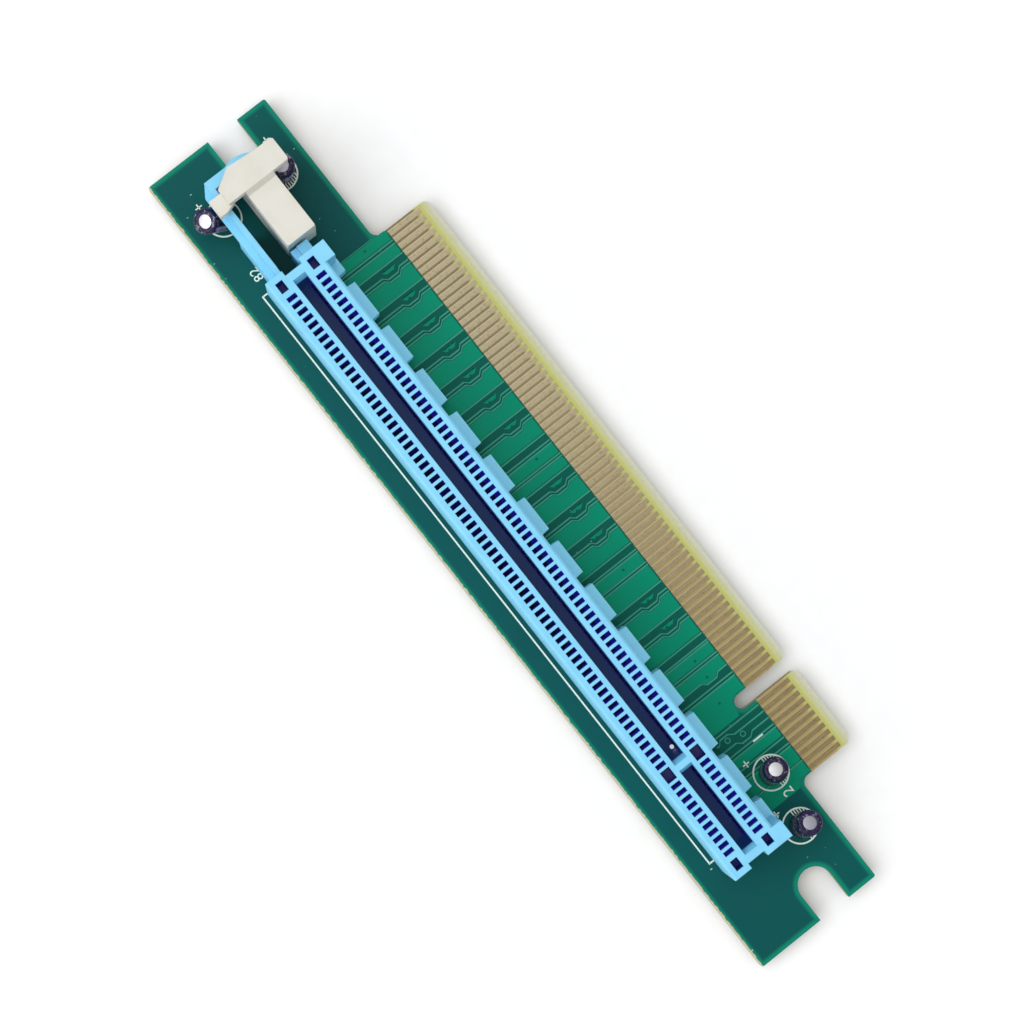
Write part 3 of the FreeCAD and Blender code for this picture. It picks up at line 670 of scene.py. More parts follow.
@dataclass(frozen=True)
class TinnedWire:
    """Tinned steel wire of the capacitor leads."""

    tin: str = "c6c6c2"
    flecked: str = "83827c"

    def material(self) -> Material:
        """Mix the finish: dull tin with small dark flecks.

        Returns:
            The material.
        """
        # Dipped tin is a dull grey metal, darker in flecks where it is thin.
        p = Paint("tinned wire", roughness=0.34, metallic=1.0)
        flecks = p.grain((5.0, 5.0, 2.0))
        p.link("Base Color", p.fade(self.tin, self.flecked, flecks, start=0.5, end=0.8, share=0.5))
        return p.material


@dataclass(frozen=True)
class ScreenInk:
    """White screen-printed epoxy ink."""

    white: str = "e0e8de"
    thin: str = "9cc2b2"

    def material(self) -> Material:
        """Mix the finish: matt white, thin in places so that the green shows through.

        Returns:
            The material.
        """
        # Ink pressed through a screen dries matt and a little rough.
        p = Paint("epoxy screen ink", roughness=0.6, gloss=0.3)
        p.link("Base Color", p.fade(self.white, self.thin, p.grain(2.5), start=0.5, end=0.85, share=0.6))
        p.emboss(p.grain(6.0), strength=0.2, depth_mm=0.01)
        return p.material


@dataclass(frozen=True)
class ShrinkFilm:
    """Dark glossy shrink film with a pale dashed stripe down the minus side."""

    film: str = "0a061e"
    clouded: str = "1d1544"
    painted_crease_highlight: str = "8f8aa0"
    stripe: str = "8d84ac"
    stripe_half_angle: float = 0.42
    stripe_edge: float = 0.02
    dash_half_angle: float = 0.12
    dash_edge: float = 0.004
    dash_pitch: float = 1.8
    dash_rows: Span = (0.22, 0.78)
    stripe_top: float = 4.55
    highlight_start: float = 4.2

    def material(self, name: str, foot: Vector, turn: Matrix, minus_heading: float) -> Material:
        """Mix the finish for one capacitor.

        Args:
            name: Name of the capacitor.
            foot: Middle of the can's floor, in metres.
            turn: Rotation from upright to the can's own lean.
            minus_heading: Direction of the minus side on the upright can, in radians.

        Returns:
            The material, whose stripe follows the leaning can.
        """
        # Shrunk polyester film is glossy and slightly rippled, and darker where it folds over the rim.
        p = Paint("polyester shrink film " + name, roughness=0.2, ior=1.58, gloss=0.22)
        scale = (1 / METRE, 1 / METRE, 1 / METRE)
        stand = {"Vector": p.local, "Location": foot, "Rotation": turn.to_euler(), "Scale": scale}
        upright = p.add(Kind.MAPPING, stand, vector_type="TEXTURE")
        own_x, own_y, own_z = p.add(Kind.SPLIT, {0: upright}).node.outputs[:3]
        heading = p.add(Kind.MATH, {0: own_y, 1: own_x}, operation="ARCTAN2")
        from_minus = p.add(Kind.MATH, {0: heading, 1: minus_heading}, operation="SUBTRACT")
        facing = p.add(Kind.MATH, {0: from_minus}, operation="COSINE")
        dashes = p.add(Kind.MATH, {0: own_z, 1: 1 / self.dash_pitch}, operation="MULTIPLY")
        rows = p.add(Kind.MATH, {0: dashes}, operation="FRACT")
        film = p.fade(self.film, self.clouded, p.grain(0.8), start=0.2, end=0.8)
        # Near the rim, pale patches are painted on the film as highlights on its creases.
        highlight_band = p.add(Kind.MATH, {0: own_z, 1: self.highlight_start}, operation="GREATER_THAN")
        highlight_patches = p.grain(2.0, detail=2.0)
        film = p.fade(film, self.painted_crease_highlight, highlight_patches, start=0.58, end=0.68, share=0.75, only=highlight_band)
        edge, dash = math.cos(self.stripe_half_angle), math.cos(self.dash_half_angle)
        on_side = p.add(Kind.MATH, {0: own_z, 1: self.stripe_top}, operation="LESS_THAN")
        edges = (edge - self.stripe_edge, edge + self.stripe_edge)
        striped = p.fade(film, self.stripe, facing, *edges, only=on_side)
        on_row = p.in_band(rows, *self.dash_rows)
        p.link("Base Color", p.fade(striped, film, facing, dash - self.dash_edge, dash, only=on_row))
        p.emboss(p.grain((2.4, 2.4, 0.9)), strength=0.9, depth_mm=0.12)
        return p.material


@dataclass(frozen=True)
class StudioCard:
    """Matt white card that the part stands on."""

    white: str = "f7f7f7"
    tooth: str = "f3f3f3"

    def material(self) -> Material:
        """Mix the finish: plain white with the faintest tooth.

        Returns:
            The material.
        """
        # Coated card is an even, dull white.
        p = Paint("matt white card", roughness=0.9)
        p.link("Base Color", p.fade(self.white, self.tooth, p.grain(0.4), 0.0, 1.0))
        return p.material


def rest_all() -> None:
    """Leave edit mode and select nothing."""
    if bpy.context.mode != "OBJECT":
        bpy.ops.object.mode_set(mode="OBJECT")
    bpy.ops.object.select_all(action="DESELECT")


def hold(piece: Piece) -> None:
    """Select one piece alone and make it the active one.

    Args:
        piece: Piece to work on.
    """
    rest_all()
    piece.select_set(True)
    bpy.context.view_layer.objects.active = piece


@contextmanager
def shaping(piece: Piece) -> Iterator[None]:
    """Edit one piece: enter edit mode, and leave it with the normals outwards.

    Args:
        piece: Piece to shape.

    Yields:
        Nothing, while the piece is in edit mode.
    """
    hold(piece)
    bpy.ops.object.mode_set(mode="EDIT")
    yield
    bpy.ops.mesh.select_all(action="SELECT")
    bpy.ops.mesh.normals_make_consistent(inside=False)
    bpy.ops.object.mode_set(mode="OBJECT")
    piece.select_set(False)


def pick(piece: Piece, element: Element, wanted: Callable[[Vector], bool]) -> None:
    """Select edges or faces of the piece in edit mode.

    Args:
        piece: Piece being edited.
        element: Edges or faces.
        wanted: Test that every corner of the element must pass, on its place in the mesh.
    """
    bpy.ops.mesh.select_mode(type=element.value)
    bpy.ops.mesh.select_all(action="DESELECT")
    mesh = bmesh.from_edit_mesh(piece.data)
    for item in mesh.edges if element is Element.EDGE else mesh.faces:
        if all(wanted(corner.co) for corner in item.verts):
            item.select_set(True)
    mesh.select_flush_mode()
    bmesh.update_edit_mesh(piece.data)


def settle(piece: Piece, name: str) -> Piece:
    """Name a piece and put its place in its mesh.

    Args:
        piece: Piece that stands where it belongs.
        name: Its name.

    Returns:
        The same piece, its object at the origin.
    """
    hold(piece)
    bpy.ops.object.transform_apply(location=True, rotation=True, scale=True)
    piece.select_set(False)
    piece.name = name
    piece.data.name = name
    return piece


def copy_at(piece: Piece, offset: Vector) -> Piece:
    """Copy a settled piece, with a mesh of its own.

    Args:
        piece: Piece to copy.
        offset: Offset of the copy, in metres.

    Returns:
        The copy.
    """
    twin = bpy.data.objects.new(piece.name + "_copy", piece.data.copy())
    bpy.context.scene.collection.objects.link(twin)
    twin.data.transform(Matrix.Translation(offset))
    return twin


def join(pieces: Sequence[Piece], name: str) -> Piece:
    """Join pieces into one.

    Args:
        pieces: Two pieces or more.
        name: Name of the result.

    Returns:
        The joined piece.
    """
    hold(pieces[0])
    for piece in pieces[1:]:
        piece.select_set(True)
    bpy.ops.object.join()
    return settle(pieces[0], name)


def dress(piece: Piece, material: Material) -> None:
    """Give a piece one material all over."""
    piece.data.materials.clear()
    piece.data.materials.append(material)


def dress_nodes(names: Sequence[str], material: Material) -> None:
    """Give CAD nodes one material.

    Args:
        names: Names of the nodes.
        material: Their finish.
    """
    for name in names:
        dress(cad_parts[name], material)
        LOG.info("%s dressed as %s", name, material.name)


def attach(piece: Piece, body: Body, slot: str, *nodes: str) -> None:
    """Make a piece ride on its body, in place of any nodes that it stands for.

    Args:
        piece: Finished piece.
        body: Body that carries it.
        slot: Material slot of the record; not used.
        *nodes: CAD nodes that the piece replaces.
    """
    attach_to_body(piece, body.value)
    if nodes:
        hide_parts(*nodes)
    piece.data.calc_loop_triangles()
    LOG.info("%s rides on %s with %d triangles", piece.name, body.value, len(piece.data.loop_triangles))


def strip(stations: Sequence[Station], layer: Layer, ease: float = 0.03) -> Piece:
    """Flat strip on the component face, drawn out from station to station and then raised.

    Args:
        stations: Y, low X and high X of each station in millimetres.
        layer: What it is made of, which gives its height.
        ease: Width of the sloped edge round its top.

    Returns:
        The strip, settled.
    """
    (y0, low0, high0), (reached, _, _) = stations[:2]
    width, middle = high0 - low0, (low0 + high0) / 2
    centre = spot(middle, (y0 + reached) / 2, 0)
    rest_all()
    bpy.ops.mesh.primitive_plane_add(size=1 / METRE, location=centre)
    piece = settle(bpy.context.active_object, "strip")
    with shaping(piece):
        bpy.ops.transform.resize(value=(width, reached - y0, 1), center_override=centre)
        for y, low, high in stations[1:]:
            edge_y = spot(0, reached, 0).y
            pick(piece, Element.EDGE, lambda co: abs(co.y - edge_y) < SAME_PLACE)
            if y > reached:
                rise = (0, (y - reached) / METRE, 0)
                bpy.ops.mesh.extrude_region_move(TRANSFORM_OT_translate={"value": rise})
            new_width, new_middle = high - low, (low + high) / 2
            bpy.ops.transform.translate(value=((new_middle - middle) / METRE, 0, 0))
            end = spot(new_middle, y, 0)
            bpy.ops.transform.resize(value=(new_width / width, 1, 1), center_override=end)
            reached, width, middle = y, new_width, new_middle
        raise_strip(piece, layer, ease)
    return piece


def raise_strip(piece: Piece, layer: Layer, ease: float) -> None:
    """Thicken a flat piece in edit mode to its layer's height and slope its upper edge.

    Args:
        piece: Piece being edited.
        layer: What it is made of.
        ease: Width of the slope in millimetres.
    """
    bpy.ops.mesh.select_all(action="SELECT")
    bpy.ops.mesh.extrude_region_move(TRANSFORM_OT_translate={"value": (0, 0, layer.value / METRE)})
    middle = spot(0, 0, layer.value / 2).z
    pick(piece, Element.FACE, lambda co: co.z > middle)
    bpy.ops.mesh.inset(thickness=ease / METRE, depth=0)
    bpy.ops.transform.translate(value=(0, 0, CROWN_RISE * layer.value / METRE))


def turned(name: str, profile: Profile, sides: int, closed: bool) -> Piece:
    """Round piece drawn upwards from a circle, ring by ring, upright on the Z axis.

    Args:
        name: Name of the piece.
        profile: Radius and height of each ring in millimetres.
        sides: Number of sides.
        closed: True to bridge the last ring to the first, False to fill both.

    Returns:
        The piece.
    """
    radius, height = profile[0]
    rest_all()
    base = (0, 0, height / METRE)
    bpy.ops.mesh.primitive_circle_add(vertices=sides, radius=radius / METRE, location=base)
    piece = settle(bpy.context.active_object, name)
    with shaping(piece):
        bpy.ops.mesh.select_mode(type="EDGE")
        bpy.ops.mesh.select_all(action="SELECT")
        if not closed:
            bpy.ops.mesh.edge_face_add()
            mesh = bmesh.from_edit_mesh(piece.data)
            for face in mesh.faces:
                face.select_set(False)
            for edge in mesh.edges:
                edge.select_set(True)
            bmesh.update_edit_mesh(piece.data)
        for next_radius, next_height in profile[1:]:
            rise = (0, 0, (next_height - height) / METRE)
            bpy.ops.mesh.extrude_edges_move(TRANSFORM_OT_translate={"value": rise})
            factor = next_radius / radius
            centre = (0, 0, next_height / METRE)
            bpy.ops.transform.resize(value=(factor, factor, 1), center_override=centre)
            radius, height = next_radius, next_height
        if closed:
            mesh = bmesh.from_edit_mesh(piece.data)
            for edge in mesh.edges:
                edge.select_set(len(edge.link_faces) == 1)
            bmesh.update_edit_mesh(piece.data)
            bpy.ops.mesh.bridge_edge_loops()
        else:
            bpy.ops.mesh.edge_face_add()
    return piece


@dataclass
class CopperArtwork:
    """Copper under the mask between the socket and the fingers: pours, traces, islands and covered vias."""

    start: float = 11.0
    end: float = 19.5
    trace_end: float = 19.62
    trace_width: float = 0.3
    trace_ease: float = 0.09
    pour_ease: float = 0.06
    pour_corner: float = 0.15
    jog: float = 0.5
    jog_y: tuple[float, float, float, float] = (15.6, 16.15, 17.65, 18.2)
    jogged_groups: tuple[Span, ...] = (
        (25.05, 28.9), (29.05, 32.9), (33.05, 36.9), (37.05, 40.9), (41.05, 44.9), (45.05, 48.9),
        (49.05, 52.9), (58.05, 61.9), (62.05, 65.9), (66.05, 69.95), (76.1, 79.95), (80.1, 83.95),
    )
    pour_in_group: float = 1.7
    traces_in_group: Span = (1.1, 1.53)
    island: tuple[Station, ...] = (
        (15.95, 0.5, 0.62), (16.35, 0.5, 1.0), (17.45, 0.5, 1.0), (17.85, 0.5, 0.62),
    )
    island_edge_highlight: tuple[Station, ...] = ((16.0, 0.5, 0.6), (17.8, 0.5, 0.6))
    plain_pours: tuple[Span, ...] = (
        (21.6, 22.95), (23.75, 24.9), (54.6, 55.95), (56.65, 57.85), (71.6, 72.95), (73.65, 75.95),
        (85.6, 86.9), (98.95, 100.15), (101.9, 103.9),
    )
    plain_traces: tuple[float, ...] = (
        23.15, 23.6, 53.1, 54.1, 54.5, 56.15, 56.5, 70.15, 71.15, 71.5, 73.1, 73.5, 84.15, 85.2, 85.5, 87.1,
        87.5, 90.25, 90.7, 95.4, 98.4, 98.85, 100.45, 101.4, 101.8, 104.1,
    )
    lone_jogged_pour: Span = (87.65, 88.95)
    lone_jogged_trace: float = 89.1
    stepped_pours: tuple[tuple[Station, ...], ...] = (
        ((11.0, 90.8, 95.0), (16.9, 90.8, 95.0), (17.15, 90.8, 93.2), (17.6, 90.8, 92.85), (18.3, 90.8, 92.6),
         (19.5, 90.8, 92.6)),
        ((11.0, 104.25, 106.6), (17.3, 104.25, 106.6), (17.8, 104.25, 105.6), (19.5, 104.25, 105.6)),
    )
    first_trace: tuple[Station, ...] = ((11.0, 21.42, 21.55), (17.6, 21.42, 21.55))
    wandering_traces: tuple[Profile, ...] = (
        ((12.2, 96.4), (12.7, 96.4), (13.1, 95.9), (14.3, 95.9), (15.0, 96.4), (19.62, 96.4)),
        ((11.0, 97.4), (14.5, 97.4), (15.1, 97.9), (16.4, 97.9), (17.0, 97.4), (19.62, 97.4)),
    )
    ringed_vias: tuple[Span, ...] = ((97.0, 15.85), (96.5, 13.85))
    covered_vias: tuple[Span, ...] = (
        (22.2, 16.0), (30.0, 16.8), (34.1, 16.9), (38.0, 16.7), (42.0, 16.8), (46.0, 16.6), (50.0, 16.9),
        (55.0, 16.8), (59.1, 16.7), (63.0, 16.8), (67.1, 16.7), (72.2, 16.75), (77.0, 16.8), (81.0, 16.6),
        (86.4, 16.75), (88.85, 16.7), (92.3, 15.9),
    )
    ring_profile: Profile = ((0.43, 0.0), (0.39, 0.05), (0.25, 0.05), (0.21, 0.0))
    ring_sides: int = 20
    dimple_profile: Profile = ((0.17, 0.0), (0.17, 0.05), (0.1, 0.045))
    dimple_sides: int = 12
    # Each finish's shoulder colour is painted shading: a lighter painted highlight down the pours' edges,
    # painted shade beside the traces and the vias.
    finishes: tuple[CopperUnderMask, CopperUnderMask, CopperUnderMask] = (
        CopperUnderMask("solder mask over copper pour", "008c6c", "008464", "1f8c70"),
        CopperUnderMask("solder mask over copper trace", "3f9c82", "2f8a72", "03463a"),
        CopperUnderMask("solder mask over covered via", "06604c", "055443", "044a3b"),
    )

    def pour(self, low: float, high: float) -> Piece:
        """Plain pour with its outer corners cut.

        Args:
            low: Lower X.
            high: Higher X.

        Returns:
            The pour.
        """
        cut = self.pour_corner
        stations = [(self.start, low, high), (self.end - cut, low, high), (self.end, low + cut, high - cut)]
        return strip(stations, Layer.COPPER, self.pour_ease)

    def jogged_pour(self, low: float, high: float, low_jog: float, high_jog: float) -> Piece:
        """Pour with a side that steps aside round an island."""
        return strip(self.jogged(low, high, low_jog, high_jog, self.end), Layer.COPPER, self.pour_ease)

    def jogged(self, low: float, high: float, low_jog: float, high_jog: float, end: float) -> list[Station]:
        """Stations of a strip whose sides step aside and back.

        Args:
            low: Lower X before and after the step.
            high: Higher X there.
            low_jog: Step of the lower side.
            high_jog: Step of the higher side.
            end: Y where the strip ends.

        Returns:
            The stations.
        """
        y0, y1, y2, y3 = self.jog_y
        return [
            (self.start, low, high), (y0, low, high), (y1, low + low_jog, high + high_jog),
            (y2, low + low_jog, high + high_jog), (y3, low, high), (end, low, high),
        ]

    def pours(self) -> Piece:
        """All pours and islands as one piece.

        Returns:
            The piece.
        """
        pieces = [self.pour(low, high) for low, high in self.plain_pours]
        for base, high in self.jogged_groups:
            pieces.append(self.jogged_pour(base + self.pour_in_group, high, self.jog, 0))
        island = strip(self.island, Layer.COPPER)
        pieces += [copy_at(island, along(base)) for base, _ in self.jogged_groups]
        bpy.data.objects.remove(island)
        pieces.append(self.jogged_pour(*self.lone_jogged_pour, 0, self.jog))
        pieces += [strip(stations, Layer.COPPER, self.pour_ease) for stations in self.stepped_pours]
        return join(pieces, "copper_pours")

    def traces(self) -> Piece:
        """All traces, painted highlight strips along the island edges, and via rings as one piece.

        Returns:
            The piece.
        """
        half, end = self.trace_width / 2, self.trace_end
        straight = strip([(self.start, -half, half), (end, -half, half)], Layer.COPPER, self.trace_ease)
        bent = strip(self.jogged(-half, half, self.jog, self.jog, end), Layer.COPPER, self.trace_ease)
        pieces = [copy_at(straight, along(x)) for x in self.plain_traces]
        pieces.append(copy_at(bent, along(self.lone_jogged_trace)))
        # A thin light strip on each island's edge is a painted highlight of that raised edge.
        highlight_rib = strip(self.island_edge_highlight, Layer.COPPER)
        for base, _ in self.jogged_groups:
            pieces.append(copy_at(straight, along(base)))
            pieces += [copy_at(bent, along(base + offset)) for offset in self.traces_in_group]
            pieces.append(copy_at(highlight_rib, along(base)))
        ring = turned("via", self.ring_profile, self.ring_sides, closed=True)
        pieces += [copy_at(ring, spot(x, y, 0)) for x, y in self.ringed_vias]
        for spare in (straight, bent, highlight_rib, ring):
            bpy.data.objects.remove(spare)
        pieces.append(strip(self.first_trace, Layer.COPPER))
        for stops in self.wandering_traces:
            stations = [(y, x - half, x + half) for y, x in stops]
            pieces.append(strip(stations, Layer.COPPER, self.trace_ease))
        return join(pieces, "copper_traces")

    def vias(self) -> Piece:
        """Dimples over all covered vias.

        Returns:
            The dimples as one piece.
        """
        dimple = turned("dimple", self.dimple_profile, self.dimple_sides, closed=False)
        pieces = [copy_at(dimple, spot(x, y, 0)) for x, y in self.covered_vias]
        bpy.data.objects.remove(dimple)
        return join(pieces, "covered_vias")

    def build(self) -> None:
        """Make, dress and attach the artwork."""
        for piece, finish in zip((self.pours(), self.traces(), self.vias()), self.finishes):
            dress(piece, finish.material())
            attach(piece, Body.CARD, "solder_mask_board")


@dataclass
class ScreenPrint:
    """White print on the component face, with plain marks only."""

    line_width: float = 0.2
    ease: float = 0.02
    socket_line: tuple[float, float, float] = (18.85, 106.95, 2.8)
    return_length: float = 0.7
    circle_radius: float = 2.3
    circle_sides: int = 72
    circles: tuple[Span, ...] = ((8.52, 4.94), (8.33, 13.69), (102.88, 15.62), (110.2, 14.42))
    pluses: tuple[Span, ...] = ((5.63, 3.4), (4.15, 14.9), (100.16, 13.83), (107.3, 12.9))
    plus_size: float = 0.95
    plus_width: float = 0.16
    hatched: tuple[tuple[float, float, MinusSide], ...] = (
        (8.33, 13.69, MinusSide.FAR_END), (102.88, 15.62, MinusSide.TAB), (110.2, 14.42, MinusSide.TAB),
    )
    hatch_lines: int = 5
    hatch_pitch: float = 0.34
    hatch_shift: float = 0.15
    hatch_reach: float = 0.92
    hatch_width: float = 0.14
    hatch_shortest: float = 0.15
    far_hatch_start: float = 0.95
    tab_hatch_start: float = 0.1
    digits: tuple[tuple[str, float, float, float], ...] = (
        ("82", 17.2, 4.45, 1.75), ("1", 99.1, 17.75, 2.2), ("2", 106.5, 16.5, 2.0),
    )
    curve_steps: int = 3

    def bar(self, x: float, y: float, length: float, width: float, axis: Axis) -> Piece:
        """Bar of ink.

        Args:
            x: X of its middle.
            y: Y of its middle.
            length: Its length.
            width: Its width.
            axis: Direction that it runs in.

        Returns:
            The bar.
        """
        dx, dy = (length / 2, width / 2) if axis is Axis.ALONG else (width / 2, length / 2)
        return strip([(y - dy, x - dx, x + dx), (y + dy, x - dx, x + dx)], Layer.INK, self.ease)

    def ring(self, x: float, y: float) -> Piece:
        """Outline circle of one capacitor.

        Args:
            x: X of its middle.
            y: Y of its middle.

        Returns:
            The circle.
        """
        inner, top = self.circle_radius - self.line_width, Layer.INK.value
        profile = ((self.circle_radius, 0), (self.circle_radius, top), (inner, top), (inner, 0))
        piece = turned("circle", profile, self.circle_sides, closed=True)
        piece.data.transform(Matrix.Translation(spot(x, y, 0)))
        return piece

    def hatch(self, x: float, y: float, side: MinusSide) -> list[Piece]:
        """Hatching on the minus side of one circle.

        Args:
            x: X of the circle's middle.
            y: Y of the circle's middle.
            side: Side that is hatched.

        Returns:
            The bars.
        """
        reach, bars = self.circle_radius - self.line_width, []
        for step in range(-self.hatch_lines, self.hatch_lines + 1):
            offset = self.hatch_shift + self.hatch_pitch * step
            if abs(offset) > self.hatch_reach * reach:
                continue
            if side is MinusSide.TAB and offset < self.tab_hatch_start:
                continue
            half = math.sqrt(reach ** 2 - offset ** 2)
            inner = self.far_hatch_start if side is MinusSide.FAR_END else -half
            middle, length = x + (inner + half) / 2, half - inner
            if length > self.hatch_shortest:
                bars.append(self.bar(middle, y + offset, length, self.hatch_width, Axis.ALONG))
        return bars

    def digit(self, text: str, x: float, y: float, size: float) -> Piece:
        """Plain number printed the other way up, as seen from the plain long edge.

        Args:
            text: The number.
            x: X of its start.
            y: Y of its base line.
            size: Height of the type in millimetres.

        Returns:
            The number as a mesh.
        """
        rest_all()
        bpy.ops.object.text_add(location=spot(x, y, 0.0), rotation=(0, 0, math.pi))
        letters = bpy.context.active_object
        letters.data.body = text
        letters.data.size = size / METRE
        half_height = Layer.INK.value / 2 / METRE
        letters.data.extrude = half_height
        letters.data.resolution_u = self.curve_steps
        bpy.ops.object.convert(target="MESH")
        piece = settle(bpy.context.active_object, "digit")
        piece.data.transform(Matrix.Translation((0, 0, half_height)))
        return piece

    def build(self) -> None:
        """Make, dress and attach the print."""
        start, end, y = self.socket_line
        half, back = self.line_width / 2, self.return_length
        pieces = [self.bar((start + end) / 2, y, end - start, self.line_width, Axis.ALONG)]
        for x in (start + half, end - half):
            pieces.append(self.bar(x, y + back / 2, back, self.line_width, Axis.ACROSS))
        pieces += [self.ring(cx, cy) for cx, cy in self.circles]
        for cx, cy, side in self.hatched:
            pieces += self.hatch(cx, cy, side)
        for cx, cy in self.pluses:
            pieces += [self.bar(cx, cy, self.plus_size, self.plus_width, axis) for axis in Axis]
        pieces += [self.digit(*entry) for entry in self.digits]
        marks = join(pieces, "screen_print")
        dress(marks, ScreenInk().material())
        attach(marks, Body.CARD, "solder_mask_board")


@dataclass
class Board:
    """Circuit board with its fingers, copper artwork and print."""

    copper: CopperArtwork = field(default_factory=CopperArtwork)
    ink: ScreenPrint = field(default_factory=ScreenPrint)

    def build(self) -> None:
        """Dress the board's nodes and add what lies on it."""
        dress_nodes(["circuit_board"], SolderMaskBoard().material())
        dress_nodes(["edge_fingers_front", "edge_fingers_back"], HardGoldPlating().material())
        self.copper.build()
        self.ink.build()


@dataclass
class Socket:
    """Slot housing and its contacts."""

    contact_nodes: tuple[str, ...] = (
        "contacts_tab_side_inner", "contacts_tab_side_outer", "contacts_plain_side_inner",
        "contacts_plain_side_outer",
    )

    def build(self) -> None:
        """Dress the housing and the contacts."""
        dress_nodes(["slot_housing"], MouldedPolyester().material())
        dress_nodes(self.contact_nodes, StampedContact().material())


@dataclass
class Latch:
    """Rocking card latch."""

    node: str = "retention_latch"

    def build(self) -> None:
        """Dress the latch."""
        dress_nodes([self.node], IvoryNylon().material())


@dataclass
class Capacitor:
    """Small can capacitor that leans on its leads.

    Attributes:
        name: Name that its nodes begin with.
        x: X of its foot.
        y: Y of its foot.
        lean: Degrees from upright.
        heading: Degrees from X to the direction that it leans in.
        minus_heading: Degrees from X to its minus side while it is upright.
        metal: Colour of the can, lighter on some cans and darker on others as a painted reflection.
        standoff: Height of the can's floor over the board.
        smooth_angle: Degrees below which an edge is shaded smooth.
    """

    name: str
    x: float
    y: float
    lean: float
    heading: float
    minus_heading: float
    metal: str
    standoff: float = 0.8
    sides: int = 48
    smooth_angle: float = 50.0
    can_profile: Profile = (
        (1.42, 0.0), (1.5, 0.08), (1.5, 0.62), (1.4, 0.72), (1.4, 0.82), (1.5, 0.92), (1.5, 4.6),
        (1.44, 4.78), (1.3, 4.88), (1.05, 4.9), (0.98, 4.84), (0.9, 4.86),
    )
    sleeve_profile: Profile = (
        (1.5, 0.15), (1.57, 0.13), (1.6, 0.2), (1.6, 0.6), (1.53, 0.72), (1.53, 0.82), (1.6, 0.95),
        (1.6, 4.62), (1.56, 4.8), (1.44, 4.93), (1.25, 5.0), (0.97, 5.0), (0.87, 4.97), (0.86, 4.91),
        (1.05, 4.91), (1.3, 4.89), (1.44, 4.78), (1.5, 4.6),
    )

    def lean_turn(self) -> Matrix:
        """Rotation from upright to the can's axis.

        Returns:
            The rotation.
        """
        lean, heading = math.radians(self.lean), math.radians(self.heading)
        side = math.sin(lean)
        axis = Vector((side * math.cos(heading), side * math.sin(heading), math.cos(lean)))
        return Vector((0, 0, 1)).rotation_difference(axis).to_matrix()

    def build(self) -> None:
        """Make the can and its sleeve in place of the plain ones, and dress the leads."""
        foot, turn = spot(self.x, self.y, self.standoff), self.lean_turn()
        can = turned(self.name + "_drawn_can", self.can_profile, self.sides, closed=False)
        sleeve = turned(self.name + "_shrunk_sleeve", self.sleeve_profile, self.sides, closed=True)
        for piece in (can, sleeve):
            piece.data.transform(Matrix.Translation(foot) @ turn.to_4x4())
            hold(piece)
            bpy.ops.object.shade_smooth_by_angle(angle=math.radians(self.smooth_angle))
            piece.select_set(False)
        dress(can, DrawnAluminium(self.metal).material())
        dress(sleeve, ShrinkFilm().material(self.name, foot, turn, math.radians(self.minus_heading)))
        attach(can, Body.CARD, "can_aluminium", self.name + "_can")
        attach(sleeve, Body.CARD, "sleeve_film", self.name + "_sleeve")
        dress_nodes([self.name + "_leads"], TinnedWire().material())


@dataclass(frozen=True)
class Softbox:
    """Square soft light that is aimed at the part, in metres and watts."""

    name: str
    place: tuple[float, float, float]
    size: float
    power: float
    colour: str

    def build(self) -> None:
        """Hang the light and aim it."""
        light = bpy.data.lights.new(self.name, "AREA")
        light.size, light.energy = self.size, self.power
        light.color = linear(self.colour)[:3]
        lamp = bpy.data.objects.new(self.name, light)
        bpy.context.scene.collection.objects.link(lamp)
        lamp.location = self.place
        lamp.rotation_euler = (-Vector(self.place)).to_track_quat("-Z", "Y").to_euler()


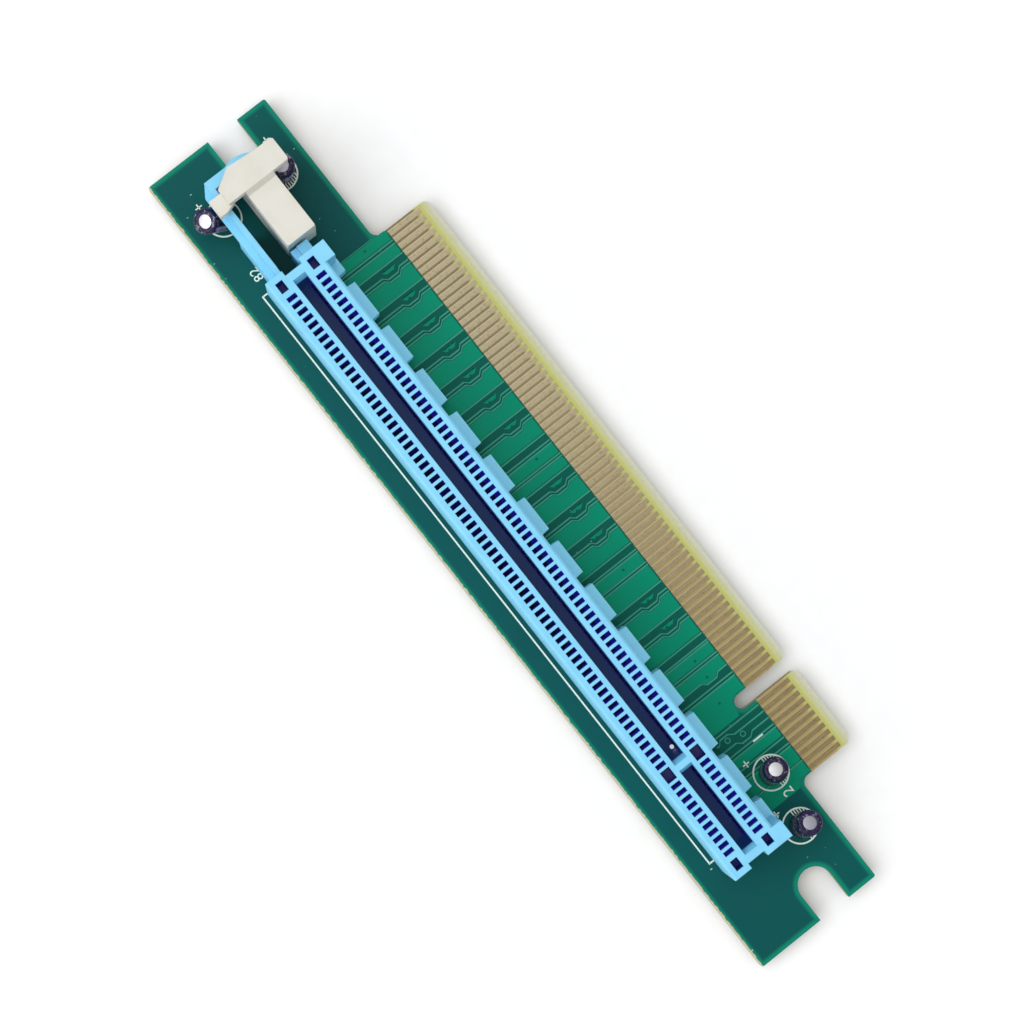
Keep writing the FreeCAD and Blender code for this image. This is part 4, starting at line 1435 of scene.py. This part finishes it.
@dataclass
class Studio:
    """Pale floor, soft light and the camera."""

    camera_place: tuple[float, float, float] = (-0.00773183, -0.02405587, 0.32265554)
    camera_turn: tuple[float, float, float] = (1.60437, -3.6299, 51.6921)
    lens: float = 92.4626
    sensor_width: float = 36.0
    clip: Span = (0.01, 10.0)
    floor_size: float = 1.6
    floor_cuts: int = 6
    air: str = "ffffff"
    air_strength: float = 0.66
    softboxes: tuple[Softbox, ...] = (
        Softbox("overhead softbox", place=(-0.15, -0.2, 0.6), size=0.6, power=2.1, colour="ffffff"),
        Softbox("side fill", place=(-0.05, -0.5, 0.38), size=0.55, power=1.4, colour="f6f9ff"),
    )

    def floor(self) -> None:
        """Lay a flat card under the part."""
        rest_all()
        bpy.ops.mesh.primitive_plane_add(size=self.floor_size, location=(0, 0, CAD_BOX[0].z))
        piece = settle(bpy.context.active_object, "floor")
        with shaping(piece):
            bpy.ops.mesh.subdivide(number_cuts=self.floor_cuts)
        dress(piece, StudioCard().material())

    def camera(self) -> None:
        """Set the camera at the photograph's angle, for a square picture that is not set up here."""
        data = bpy.data.cameras.new("camera")
        data.sensor_width, data.lens = self.sensor_width, self.lens
        data.clip_start, data.clip_end = self.clip
        camera = bpy.data.objects.new("camera", data)
        bpy.context.scene.collection.objects.link(camera)
        camera.location = self.camera_place
        camera.rotation_euler = [math.radians(angle) for angle in self.camera_turn]
        bpy.context.scene.camera = camera

    def build(self) -> None:
        """Set up the floor, the camera and the lights."""
        self.floor()
        self.camera()
        world = bpy.data.worlds.new("studio air")
        world.use_nodes = True
        background = world.node_tree.nodes["Background"]
        background.inputs["Color"].default_value = linear(self.air)
        background.inputs["Strength"].default_value = self.air_strength
        bpy.context.scene.world = world
        for softbox in self.softboxes:
            softbox.build()
        bpy.context.scene.view_settings.view_transform = "Standard"


def main() -> None:
    """Build every sub-assembly in order."""
    logging.basicConfig(level=logging.INFO, format="%(message)s")
    assemblies = [
        Board(),
        Socket(),
        Latch(),
        # Each can's metal tone is a painted reflection, lighter on some cans and darker on others.
        Capacitor("capacitor_1", 8.53, 4.9, lean=27.0, heading=260.0, minus_heading=0.0, metal="d2d0d8"),
        Capacitor("capacitor_2", 8.38, 14.0, lean=1.5, heading=45.0, minus_heading=0.0, metal="b9b5c6"),
        Capacitor("capacitor_3", 102.82, 15.6, lean=9.5, heading=162.0, minus_heading=90.0, metal="c6c7c9"),
        Capacitor("capacitor_4", 110.17, 14.45, lean=9.7, heading=128.0, minus_heading=90.0, metal="a4a8b2"),
        Studio(),
    ]
    for assembly in assemblies:
        assembly.build()
        LOG.info("%s built", type(assembly).__name__)


if __name__ == "__main__":
    main()
